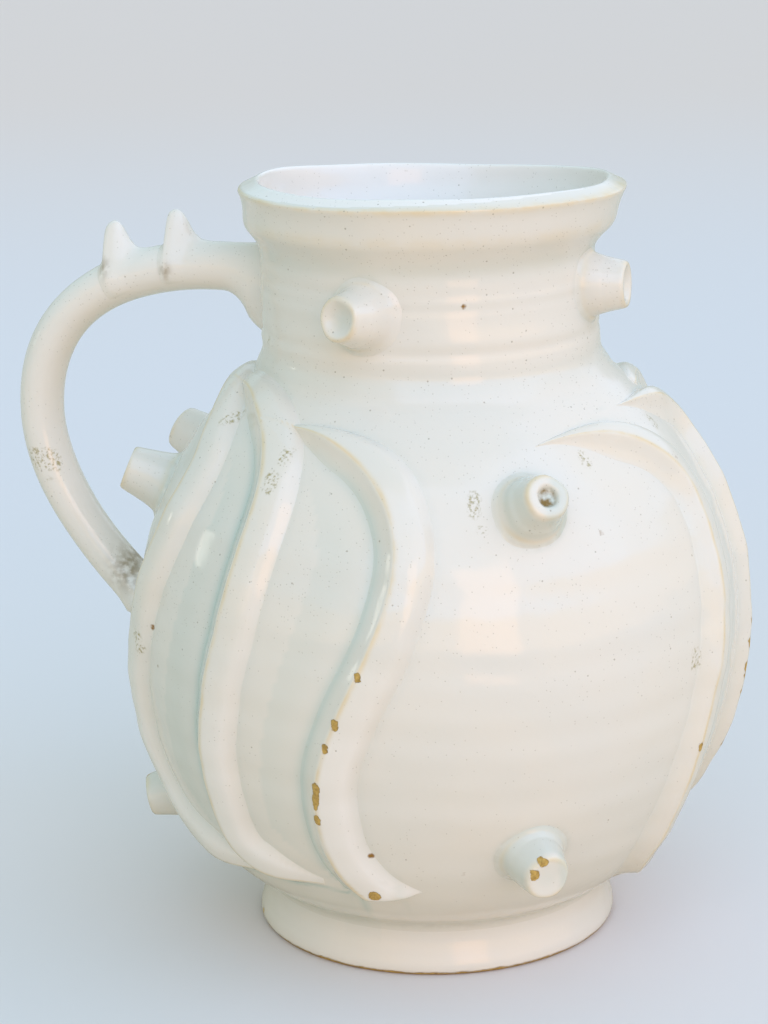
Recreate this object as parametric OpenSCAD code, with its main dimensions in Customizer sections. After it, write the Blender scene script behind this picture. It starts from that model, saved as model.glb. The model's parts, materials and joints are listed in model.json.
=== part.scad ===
// Glazed earthenware pitcher: a thrown globe on a foot, a collar neck with a
// flared rim, a pulled handle with two thorns, nine applied S ribs and
// applied conical studs. All sizes are in millimetres.
// The origin is the centre of the foot's resting face, +Z is up, and the
// handle lies in the XZ plane on the -X side.
// Azimuths are measured from -Y towards +X, so the handle is at -90.

/* [Vessel] */
// Height of the lip's inner edge above the table
vessel_h = 222.4; // [180:0.1:260]
// Outer radius of the globe at its widest
globe_r = 88.2; // [70:0.1:100]
// Height of the globe's widest ring
globe_z = 92; // [80:1:105]
// Height of the seam between globe and neck
seam_z = 165; // [155:1:175]
// Outer radius at that seam
seam_r = 54; // [50:0.5:58]
// Thickness of the thrown wall
wall_t = 5.6; // [4:0.1:8]
// Inside height of the globe's floor
floor_z = 16; // [14:0.5:20]

/* [Foot] */
// Outer radius of the foot at the table
foot_r = 53.5; // [48:0.5:60]
// Outer radius of the foot's waist, under the globe
foot_waist_r = 51; // [46:0.5:56]
// Height of the foot ring
foot_h = 15.5; // [12:0.5:20]
// Inner radius of the foot ring
foot_bore_r = 45.5; // [40:0.5:47]
// Depth of the hollow inside the foot ring
foot_recess = 8; // [5:0.5:10]
// Width of the bevel on the resting edge
foot_bevel = 1.2; // [0.5:0.1:2]

/* [Neck] */
// Outer radius of the neck at mid height
neck_r = 48.4; // [44:0.2:52]
// Outer radius of the cove under the rim
cove_r = 47.6; // [44:0.2:52]
// Height of that cove, as a share of the neck's height
cove_share = 0.632; // [0.55:0.002:0.7]
// Outer radius of the lip's corner
lip_r = 55; // [50:0.2:58]
// Drop from the lip's inner edge to its outer corner
lip_drop = 2.4; // [1:0.1:4]
// Width of the sloping lip
lip_w = 5.0; // [4:0.1:6]
// Height of the throwing rings on the neck
ring_h = 0.45; // [0:0.05:0.8]

/* [Handle] */
// Distance of the handle's outermost centre from the axis
handle_reach = 121.4; // [110:0.2:135]
// Height where the handle leaves the neck, as a share of the neck's height
handle_share = 0.478; // [0.4:0.002:0.55]
// Height of the outermost centre
handle_side_z = 149; // [140:1:160]
// Height of the handle's centre where it meets the globe
handle_low_z = 86.6; // [75:0.2:100]
// Thickness of the handle in its own plane, halfway down
handle_t = 12.8; // [9:0.2:16]
// Width of the handle across its plane
handle_w = 15.4; // [12:0.2:20]
// Height of the thorns above the handle
thorn_h = 10; // [7:0.5:15]
// Length of a thorn's foot along the handle
thorn_l = 10.5; // [7:0.5:15]
// Thickness of a thorn across the handle
thorn_w = 9.5; // [6:0.5:12]

/* [Ribs] */
// Height of the rib's crest above the wall
rib_h = 3.9; // [2.5:0.1:5]
// Width of the steep side of a rib
rib_steep_w = 5.5; // [4:0.1:7]
// Width of the long side of a rib
rib_long_w = 9.5; // [7:0.1:12]
// Height where a rib is furthest round
rib_bow_z = 134; // [125:1:140]
// Height where a rib leans back furthest
rib_lean_z = 61; // [55:1:70]
// Height of a rib's thin upper tail
rib_top_z = 160; // [155:0.5:164]
// Height of a rib's lower end
rib_toe_z = 27; // [22:0.5:34]
// Thickness of a rib's thin edges
rib_edge = 0.5; // [0.3:0.05:0.8]
// Height of luting slip between an applied piece and the wall
lute_gap = 0.15; // [0.1:0.05:0.3]

/* [Studs] */
// Radius of a stud's base
stud_base_r = 8.9; // [7:0.1:11]
// Radius of a stud's flat end
stud_tip_r = 6.7; // [4.5:0.1:8]
// Width of the smoothed clay round a stud's base
stud_fillet = 1.2; // [0.6:0.1:2]
// Height of the studs high on the globe
stud_high_z = 142; // [130:0.5:146]
// Height of the studs low on the globe
stud_low_z = 45; // [40:0.5:56]
// Height of the neck's studs, as a share of the neck's height
neck_stud_share = 0.46; // [0.4:0.01:0.55]
// Length of a stud on the globe
stud_l = 12.5; // [9:0.5:16]
// Length of a stud on the neck
neck_stud_l = 11; // [9:0.5:14]
// Radius of the shallow dish in a stud's end
dish_r = 3.6; // [2.5:0.1:4.5]
// Depth of the shallow dish
dish_d = 1.1; // [0.5:0.1:2]
// Radius of the poked hole in the front upper stud
poke_r = 2.6; // [1.5:0.1:3.5]
// Depth of the poked hole
poke_d = 5.5; // [3:0.5:8]

/* [Hidden] */
$fn = 96;
cream = [0.93, 0.91, 0.86];
clay = [0.90, 0.88, 0.82];
rib_n = 34;

// ---- curves ----
function bez(a, b, c, d, t) =
    a * pow(1 - t, 3) + 3 * b * t * pow(1 - t, 2)
    + 3 * c * t * t * (1 - t) + d * pow(t, 3);
function curve(a, b, c, d, n, from = 0) =
    [for (i = [from:n]) bez(a, b, c, d, i / n)];

// Outer skin from the foot joint to the seam, as [radius, height]. The globe
// stands upright at its widest and rolls in to the foot and the seam.
under_h = globe_z - foot_h;
over_h = seam_z - globe_z;
globe_low = curve([foot_waist_r, foot_h],
    [foot_waist_r + 0.51 * (globe_r - foot_waist_r), foot_h + 0.085 * under_h],
    [globe_r, globe_z - 0.418 * under_h], [globe_r, globe_z], 16);
globe_high = curve([globe_r, globe_z], [globe_r, globe_z + 0.438 * over_h],
    [seam_r + 0.526 * (globe_r - seam_r), seam_z - 0.205 * over_h],
    [seam_r, seam_z], 14, 1);
globe_skin = concat(globe_low, globe_high);

// Neck: a flare from the seam, a ringed collar, a cove and the flared rim
neck_h = vessel_h - seam_z;
flare_h = 0.209 * neck_h;
collar_z = seam_z + flare_h;
cove_z = seam_z + cove_share * neck_h;
neck_flare = curve([seam_r, seam_z],
    [seam_r - 0.6 * (seam_r - neck_r), seam_z + 0.23 * flare_h],
    [neck_r, collar_z - 0.46 * flare_h], [neck_r, collar_z], 7, 1);
collar_span = 0.94 * (cove_z - collar_z);
collar = [for (i = [1:16])
    [neck_r + ring_h * sin(i * 90) * (i < 15 ? 1 : 0.4) + (cove_r - neck_r) * i / 16,
     collar_z + collar_span * i / 16]];
lip_z = vessel_h - lip_drop;
rim_h = lip_z - cove_z;
rim_w = lip_r - cove_r;
// Shares of the rim's width and height: a cove, a bead and a straight band
rim_top_share = 0.946;
rim_shape = [[0.01, 0], [0.11, 0.14], [0.31, 0.27], [0.55, 0.385],
    [0.71, 0.49], [0.82, 0.64], [0.92, 0.8], [1, rim_top_share]];
rim_skin = [for (p = rim_shape) [cove_r + p[0] * rim_w, cove_z + p[1] * rim_h]];
neck_skin = concat(neck_flare, collar, rim_skin);

// ---- inner faces ----
globe_in_r = globe_r - wall_t;
seam_in_r = seam_r - wall_t;
neck_in_r = neck_r - wall_t;
floor_r = 0.74 * foot_bore_r;
lip_in_r = lip_r - lip_w;
globe_bore = concat([[0, floor_z], [floor_r, floor_z]],
    curve([floor_r, floor_z], [floor_r + 0.59 * (globe_in_r - floor_r), floor_z + 0.54 * wall_t],
        [globe_in_r, globe_z - 0.395 * (globe_z - floor_z)], [globe_in_r, globe_z], 10, 1),
    curve([globe_in_r, globe_z], [globe_in_r, globe_z + 0.41 * over_h],
        [seam_in_r + 0.526 * (globe_in_r - seam_in_r), seam_z - 0.205 * over_h],
        [seam_in_r, seam_z], 10, 1));
neck_bore = concat([[seam_in_r, seam_z]],
    curve([seam_in_r, seam_z], [seam_in_r - 0.55 * (seam_in_r - neck_in_r), seam_z + 0.25 * flare_h],
        [neck_in_r, collar_z - 0.33 * flare_h], [neck_in_r, collar_z], 5, 1),
    [[neck_in_r, cove_z],
     [neck_in_r + 0.28 * (lip_in_r - neck_in_r), cove_z + 0.43 * rim_h],
     [neck_in_r + 0.65 * (lip_in_r - neck_in_r), cove_z + 0.8 * rim_h],
     [lip_in_r, vessel_h]]);

// ---- points on the skin ----
// Applied pieces follow the skin by its arc length
skin = concat(globe_skin, neck_skin);
skin_n = len(skin);
function arc_sum(i, acc = 0, k = 1) =
    k > i ? acc : arc_sum(i, acc + norm(skin[k] - skin[k - 1]), k + 1);
skin_s = [for (i = [0:skin_n - 1]) arc_sum(i)];
z_to_s = [for (i = [0:skin_n - 1]) [skin[i][1], skin_s[i]]];
s_to_r = [for (i = [0:skin_n - 1]) [skin_s[i], skin[i][0]]];
s_to_z = [for (i = [0:skin_n - 1]) [skin_s[i], skin[i][1]]];
function skin_at(s) = [lookup(s, s_to_r), lookup(s, s_to_z)];
probe = 0.27 * wall_t;
function skin_normal(s) =
    let (d = skin_at(s + probe) - skin_at(s - probe)) [d[1], -d[0]] / norm(d);
function skin_point(phi, s, h) =
    let (p = skin_at(s) + h * skin_normal(s))
    [p[0] * sin(phi), -p[0] * cos(phi), p[1]];

module vessel_solid() {
    rotate_extrude()
        polygon(concat([[0, foot_h / 2], [foot_waist_r, foot_h / 2]], skin,
            [[0, cove_z + rim_top_share * rim_h]]));
}

// ---- ribs ----
// Each row: azimuth of the bow, sweep of the top arc, lean, kick of the
// lower end, heights of the top and of the lower end as shares
RIBS = [
    [-53, 37, 11, 32, 0.985, 1.15],
    [-25, 34, 7, 21, 1.015, 1.25],
    [7, 30, 14.5, 19, 1, 0.93],
    [82, 43, 4.5, 15, 0.975, 0.8],
    [109, 35, 7, 20, 1.01, 1],
    [136, 28, 10, 20, 1.01, 1.04],
    [188, 38, 11, 20, 0.985, 1],
    [213.5, 31, 9, 21, 1.01, 1.04],
    [239.5, 28, 10, 22, 1.015, 1.04]];
rib_drop = rib_bow_z - rib_lean_z;
rib_top_share = 0.36;
rib_lean_share = 0.72;

function rib_path(q, t) = let (
        top = rib_top_z * q[4], toe = rib_toe_z * q[5],
        bow = [0, rib_bow_z], lean = [-q[2], rib_lean_z],
        u = t < rib_top_share ? t / rib_top_share
          : t < rib_lean_share ? (t - rib_top_share) / (rib_lean_share - rib_top_share)
          : (t - rib_lean_share) / (1 - rib_lean_share),
        p = t < rib_top_share
          ? bez([-q[1], top], [-q[1] * 0.58, top * 1.019], [0, top * 0.9875], bow, u)
          : t < rib_lean_share
          ? bez(bow, [0, rib_bow_z - 0.28 * rib_drop],
              [-q[2], rib_lean_z + 0.37 * rib_drop], lean, u)
          : bez(lean, [-q[2], rib_lean_z * 0.67], [-q[2] + 6, toe * 1.07],
              [q[3] - q[2], toe], u))
    [q[0] + p[0], lookup(p[1], z_to_s)];

// Section across a rib: offset along the wall, height above it
steep = -rib_steep_w;
rib_section = [[steep, lute_gap], [steep, rib_edge], [steep * 0.68, rib_edge * 1.6],
    [steep * 0.42, rib_h * 0.42], [steep * 0.2, rib_h * 0.8], [0, rib_h],
    [rib_long_w * 0.16, rib_h * 0.99], [rib_long_w * 0.38, rib_h * 0.78],
    [rib_long_w * 0.62, rib_h * 0.46], [rib_long_w * 0.82, rib_h * 0.22],
    [rib_long_w, rib_edge], [rib_long_w, lute_gap], [rib_long_w * 0.5, lute_gap],
    [0, lute_gap], [steep * 0.5, lute_gap]];

// A rib's tail is drawn out thin and narrow, and its toe is nipped in
rib_tail_share = 0.16;
rib_toe_share = 0.06;
function rib_scale(t) = t < rib_tail_share ? 0.22 + 0.78 * sin(90 * t / rib_tail_share) : 1;
function rib_width(t) = t < rib_tail_share ? 0.45 + 0.55 * sin(90 * t / rib_tail_share)
    : t > 1 - rib_toe_share ? 1 - 0.25 * (t - 1 + rib_toe_share) / rib_toe_share : 1;

function rib_ring(q, t) = let (
        d = 0.01, a = rib_path(q, t), b = rib_path(q, min(1, t + d)),
        c = rib_path(q, max(0, t - d)), r = skin_at(a[1])[0],
        v = [(b[0] - c[0]) * r * PI / 180, b[1] - c[1]], m = v / norm(v),
        k = rib_scale(t), w = rib_width(t))
    [for (p = rib_section) let (
        off = p[0] * w, s = a[1] + off * m[0],
        phi = a[0] - off * m[1] / skin_at(s)[0] * 180 / PI)
        skin_point(phi, s, p[1] <= lute_gap ? p[1] : max(0.8 * rib_edge, p[1] * k))];

module sweep(rings) {
    n = len(rings);
    m = len(rings[0]);
    polyhedron(points = [for (r = rings) each r],
        faces = concat(
            [[for (j = [0:m - 1]) j]],
            [for (i = [0:n - 2]) for (j = [0:m - 1]) let (k = (j + 1) % m)
                [i * m + j, (i + 1) * m + j, i * m + k]],
            [for (i = [0:n - 2]) for (j = [0:m - 1]) let (k = (j + 1) % m)
                [i * m + k, (i + 1) * m + j, (i + 1) * m + k]],
            [[for (j = [m - 1:-1:0]) (n - 1) * m + j]]));
}

module rib(q) {
    color(cream) sweep([for (i = [0:rib_n]) rib_ring(q, i / rib_n)]);
}

// ---- studs ----
// azimuth and height of the base, azimuth and rise of the stud's own axis
module stud(phi, z, aim, rise, l, hole_r, hole_d) {
    s = lookup(z, z_to_s);
    p = skin_point(phi, s, 0);
    taper = stud_base_r - stud_tip_r;
    color(cream) difference() {
        translate(p) rotate([0, 0, aim]) rotate([90 - rise, 0, 0])
            rotate_extrude()
                polygon([[0, -0.8 * stud_base_r], [stud_base_r + stud_fillet, -0.8 * stud_base_r],
                    [stud_base_r + stud_fillet, -0.7 * stud_fillet],
                    [stud_base_r, 0.8 * stud_fillet],
                    [stud_base_r - 0.3 * taper, 2.2 * stud_fillet],
                    [stud_tip_r + 0.4 * taper, l * 0.55],
                    [stud_tip_r + 0.05 * taper, l * 0.91], [stud_tip_r * 0.97, l * 0.97],
                    [stud_tip_r * 0.86, l], [hole_r * 1.15, l * 0.995],
                    [hole_r, l * 0.96], [hole_r * 0.62, l - hole_d * 0.85],
                    [0, l - hole_d]]);
        vessel_solid();
    }
}

// ---- handle ----
handle_top_z = seam_z + handle_share * neck_h;
handle_drop = handle_side_z - handle_low_z;
handle_turn_share = 0.56;
function handle_path(t) = t < handle_turn_share
    ? bez([neck_r * 0.92, handle_top_z],
        [neck_r + 0.34 * (handle_reach - neck_r), handle_top_z + handle_t / 2],
        [handle_reach, handle_top_z], [handle_reach, handle_side_z], t / handle_turn_share)
    : bez([handle_reach, handle_side_z], [handle_reach, handle_side_z - 0.245 * handle_drop],
        [handle_reach * 0.93, handle_low_z + 0.41 * handle_drop],
        [globe_r * 0.955, handle_low_z], (t - handle_turn_share) / (1 - handle_turn_share));
// The handle is pulled thinner downwards, and spreads where it is luted on
handle_spread_share = 0.12;
function handle_flare(t) = 1 + 0.13 * max(0, 1 - t / handle_turn_share)
    + 0.55 * pow(max(0, 1 - t / handle_spread_share), 2)
    + 0.45 * pow(max(0, (t - 1 + handle_spread_share) / handle_spread_share), 2);
handle_n = 36;
handle_m = 18;
function handle_edge(t, ang) = let (f = handle_flare(t)) [
    sign(cos(ang)) * pow(abs(cos(ang)), 0.8) * handle_w / 2 * (1 + (f - 1) * 0.5),
    sign(sin(ang)) * pow(abs(sin(ang)), 0.8) * handle_t / 2 * f];
function handle_ring(t) = let (
        a = handle_path(t), b = handle_path(min(1, t + 0.01)),
        c = handle_path(max(0, t - 0.01)), d = (b - c) / norm(b - c),
        drop = -0.25 * handle_t * pow(max(0, 1 - t / handle_spread_share), 2))
    [for (j = [0:handle_m - 1]) let (
        e = handle_edge(t, 360 * j / handle_m),
        y = e[1] + drop)
        [-(a[0] - d[1] * y), e[0], a[1] + d[0] * y]];
module handle_bar() {
    sweep([for (i = [0:handle_n]) handle_ring(i / handle_n)]);
}
module handle() {
    color(cream) difference() {
        handle_bar();
        vessel_solid();
    }
}

// A thorn: clay pinched up over the handle to a blunt point, with a low ridge
// running down each side of the handle
function handle_out(t, ang, h) = let (
        a = handle_path(t), b = handle_path(t + 0.01), c = handle_path(t - 0.01),
        d = (b - c) / norm(b - c),
        e = handle_edge(t, ang) + h * [cos(ang), sin(ang)])
    [-(a[0] - d[1] * e[1]), e[0], a[1] + d[0] * e[1]];
thorn_spread = 40 * thorn_w / handle_w;
function thorn_along(u, peak) =
    pow(cos(90 * (u < peak ? (peak - u) / (1 + peak) : (u - peak) / (1 - peak))), 0.8);
function thorn_rise(u, ang, peak) = rib_edge + thorn_along(u, peak)
    * ((thorn_h - rib_edge) * exp(-pow((ang - 90) / thorn_spread, 2))
        + 0.13 * thorn_h * pow(max(0, sin((ang + 22) * 180 / 224)), 0.5));
// A slab between two grids of points with the same rows and columns
module slab(low, high) {
    n = len(low);
    m = len(low[0]);
    h = n * m;
    function quad(a, b, c, d) = [[a, b, c], [a, c, d]];
    polyhedron(points = concat([for (r = low) each r], [for (r = high) each r]),
        faces = concat(
            [for (i = [0:n - 2]) for (j = [0:m - 2]) let (k = i * m + j)
                each quad(k, k + m, k + m + 1, k + 1)],
            [for (i = [0:n - 2]) for (j = [0:m - 2]) let (k = h + i * m + j)
                each quad(k, k + 1, k + m + 1, k + m)],
            [for (j = [0:m - 2]) each quad(j, j + 1, h + j + 1, h + j)],
            [for (j = [0:m - 2]) let (k = (n - 1) * m + j)
                each quad(k + 1, k, h + k, h + k + 1)],
            [for (i = [0:n - 2]) let (k = i * m) each quad(k + m, k, h + k, h + k + m)],
            [for (i = [0:n - 2]) let (k = i * m + m - 1)
                each quad(k, k + m, h + k + m, h + k)]));
}
// place along the handle, and how far the point sits from the foot's middle
module thorn(t0, peak) {
    step = thorn_l / 2 / (norm(handle_path(t0 + 0.01) - handle_path(t0)) / 0.01);
    us = [-1, -0.88, -0.7, -0.5, -0.3, -0.1, 0.1, 0.3, 0.5, 0.7, 0.88, 1];
    angs = [for (i = [-7:7]) 90 + 110 * sign(i) * pow(abs(i) / 7, 1.4)];
    color(cream) slab(
        [for (u = us) [for (ang = angs) handle_out(t0 + u * step, ang, lute_gap)]],
        [for (u = us) [for (ang = angs)
            handle_out(t0 + u * step, ang, thorn_rise(u, ang, peak))]]);
}

// ---- thrown pieces ----
module globe() {
    color(cream) rotate_extrude()
        polygon(concat(
            [[0, foot_recess], [foot_bore_r, foot_recess], [foot_bore_r, foot_h]],
            globe_skin,
            [for (i = [len(globe_bore) - 1:-1:0]) globe_bore[i]]));
}

// Shares of the foot's spread and height, from the table up to the joint
foot_shape = [[0.92, 0.2], [0.56, 0.39], [0.14, 0.61], [0, 0.84], [0, 1]];
module foot_ring() {
    color(clay) rotate_extrude()
        polygon(concat([[foot_bore_r, foot_h], [foot_bore_r, foot_bevel],
            [foot_bore_r + foot_bevel, 0], [foot_r - foot_bevel, 0],
            [foot_r, foot_bevel]],
            [for (p = foot_shape)
                [foot_waist_r + p[0] * (foot_r - foot_waist_r), p[1] * foot_h]]));
}

module neck() {
    color(cream) rotate_extrude()
        polygon(concat([[seam_r, seam_z]], neck_skin,
            [[lip_r - lip_w * 0.1, lip_z]],
            [for (i = [len(neck_bore) - 1:-1:0]) neck_bore[i]]));
}

// ---- named pieces ----
module thorn_outer() thorn(0.266, -0.45);
module thorn_inner() thorn(0.169, -0.15);
module rib_left_1() rib(RIBS[0]);
module rib_left_2() rib(RIBS[1]);
module rib_left_3() rib(RIBS[2]);
module rib_right_1() rib(RIBS[3]);
module rib_right_2() rib(RIBS[4]);
module rib_right_3() rib(RIBS[5]);
module rib_back_1() rib(RIBS[6]);
module rib_back_2() rib(RIBS[7]);
module rib_back_3() rib(RIBS[8]);
neck_stud_z = seam_z + neck_stud_share * neck_h;
module stud_neck_front()
    stud(-7, neck_stud_z * 0.993, -25, 6, neck_stud_l, dish_r, dish_d);
module stud_neck_side()
    stud(85, neck_stud_z * 1.008, 89, 2, neck_stud_l, dish_r, dish_d);
module stud_neck_back() stud(176, neck_stud_z, 176, 4, neck_stud_l, dish_r, dish_d);
module stud_front_upper() stud(34.5, stud_high_z, 34.5, 30, stud_l, poke_r, poke_d);
module stud_front_lower() stud(34.5, stud_low_z, 34.5, -10, stud_l, dish_r, dish_d);
module stud_handle_front()
    stud(-76.5, stud_high_z * 0.937, -76.5, 23, stud_l, dish_r, dish_d);
module stud_handle_back()
    stud(-104, stud_high_z * 0.951, -104, 24, stud_l, dish_r, dish_d);
module stud_handle_lower()
    stud(-75, stud_low_z * 0.85, -75, -12, stud_l, dish_r, dish_d);
module stud_back_upper() stud(163.5, stud_high_z, 163.5, 30, stud_l, dish_r, dish_d);
module stud_back_lower() stud(163.5, stud_low_z, 163.5, -10, stud_l, dish_r, dish_d);

globe();
foot_ring();
neck();
handle();
thorn_outer();
thorn_inner();
rib_left_1();
rib_left_2();
rib_left_3();
rib_right_1();
rib_right_2();
rib_right_3();
rib_back_1();
rib_back_2();
rib_back_3();
stud_neck_front();
stud_neck_side();
stud_neck_back();
stud_front_upper();
stud_front_lower();
stud_handle_front();
stud_handle_back();
stud_handle_lower();
stud_back_upper();
stud_back_lower();
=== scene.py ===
"""Looks of a hand-thrown, tin-glazed earthenware pitcher with applied ribs and studs.

The vessel is turned on a wheel, so its walls are outlines carried round the
axis. The handle, thorns, ribs and studs are clay laid on those walls, so one
Geometry Nodes tree lays a cross-section along stations and presses its edges
on to the wall underneath. All working sizes are in millimetres; meshes are
written in metres.
"""

import json
import logging
import math
from dataclasses import dataclass, field
from enum import Enum

import bpy
import numpy as np
from mathutils import Matrix, Vector

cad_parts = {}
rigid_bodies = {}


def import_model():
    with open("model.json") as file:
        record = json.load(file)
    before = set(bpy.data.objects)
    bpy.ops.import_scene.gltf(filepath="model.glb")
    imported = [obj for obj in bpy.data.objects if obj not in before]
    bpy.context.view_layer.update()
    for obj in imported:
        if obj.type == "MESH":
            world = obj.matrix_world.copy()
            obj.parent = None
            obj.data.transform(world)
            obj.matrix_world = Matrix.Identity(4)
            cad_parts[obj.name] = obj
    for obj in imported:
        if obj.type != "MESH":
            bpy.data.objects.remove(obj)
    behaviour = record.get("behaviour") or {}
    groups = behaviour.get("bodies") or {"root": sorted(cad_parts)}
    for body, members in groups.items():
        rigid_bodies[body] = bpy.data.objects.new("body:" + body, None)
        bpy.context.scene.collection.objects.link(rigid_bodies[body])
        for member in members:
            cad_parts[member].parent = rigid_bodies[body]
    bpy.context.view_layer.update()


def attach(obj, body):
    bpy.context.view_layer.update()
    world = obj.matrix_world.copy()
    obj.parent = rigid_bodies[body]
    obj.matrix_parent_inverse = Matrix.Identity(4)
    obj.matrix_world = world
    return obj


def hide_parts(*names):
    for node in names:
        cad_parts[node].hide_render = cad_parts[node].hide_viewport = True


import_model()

MM = 0.001
LOG = logging.getLogger("pitcher")

Array = np.ndarray


# ---------------------------------------------------------------- helpers
def linear(hex_colour: str) -> tuple[float, float, float, float]:
    """Turns an sRGB hex colour to linear light.

    Args:
        hex_colour: six hexadecimal digits, with or without a leading mark.

    Returns:
        Red, green, blue and an alpha of 1.
    """
    digits = hex_colour.lstrip("#")
    parts = [int(digits[i:i + 2], 16) / 255 for i in (0, 2, 4)]
    light = [c / 12.92 if c <= 0.04045 else ((c + 0.055) / 1.055) ** 2.4 for c in parts]
    return light[0], light[1], light[2], 1.0


def add(tree: bpy.types.NodeTree, kind: str, feeds: dict | None = None,
        **settings: object) -> bpy.types.Node:
    """Adds one node with its settings and links.

    Args:
        tree: the tree that gets the node.
        kind: the node's type name.
        feeds: input name or number to a value, a socket or a node.
        settings: properties to set on the node first.

    Returns:
        The new node.
    """
    node = tree.nodes.new(kind)
    for name, value in settings.items():
        setattr(node, name, value)
    for name, value in (feeds or {}).items():
        socket = node.inputs[name] if isinstance(name, int) else next(
            s for s in node.inputs if s.name == name and s.enabled)
        if isinstance(value, bpy.types.Node):
            value = next(o for o in value.outputs if o.enabled)
        if isinstance(value, bpy.types.NodeSocket):
            tree.links.new(value, socket)
        else:
            socket.default_value = value
    return node


def bezier(a: tuple, b: tuple, c: tuple, d: tuple, t: Array) -> Array:
    """Points of a cubic curve with end points a and d at the shares t."""
    a, b, c, d = (np.array(p, float) for p in (a, b, c, d))
    t = np.asarray(t, float)[..., None]
    return (a * (1 - t) ** 3 + 3 * b * t * (1 - t) ** 2
            + 3 * c * t * t * (1 - t) + d * t ** 3)


def flowing(points: list[tuple], step: float) -> Array:
    """Draws a smooth line through a few points.

    Args:
        points: the points to pass through.
        step: distance between the points of the line that comes back.

    Returns:
        The line's points, close to evenly spaced.
    """
    p = np.array(points, float)
    chord = np.concatenate([[0], np.cumsum(np.linalg.norm(np.diff(p, axis=0), axis=1) ** 0.5)])
    slope = np.gradient(p, chord, axis=0)
    count = int(np.linalg.norm(np.diff(p, axis=0), axis=1).sum() / step * 6) + len(p)
    u = np.linspace(0, chord[-1], count)
    k = np.clip(np.searchsorted(chord, u, side="right") - 1, 0, len(p) - 2)
    w = chord[k + 1] - chord[k]
    t = ((u - chord[k]) / w)[:, None]
    w = w[:, None]
    line = ((2 * t ** 3 - 3 * t ** 2 + 1) * p[k] + (t ** 3 - 2 * t ** 2 + t) * w * slope[k]
            + (3 * t ** 2 - 2 * t ** 3) * p[k + 1] + (t ** 3 - t ** 2) * w * slope[k + 1])
    return even(line, step)


def even(line: Array, step: float) -> Array:
    """Spaces the points of a line evenly, about one step apart."""
    s = np.concatenate([[0], np.cumsum(np.linalg.norm(np.diff(line, axis=0), axis=1))])
    n = max(2, int(round(s[-1] / step)) + 1)
    return np.stack([np.interp(np.linspace(0, s[-1], n), s, line[:, i])
                     for i in range(line.shape[1])], 1)


def ease(x: Array, low: float, high: float) -> Array:
    """Rises smoothly from 0 at low to 1 at high."""
    t = np.clip((np.asarray(x, float) - low) / (high - low), 0, 1)
    return t * t * (3 - 2 * t)


def bell(x: Array, middle: float, width: float) -> Array:
    """A smooth bump of height 1 around middle."""
    return np.exp(-((np.asarray(x, float) - middle) / width) ** 2)


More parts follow.
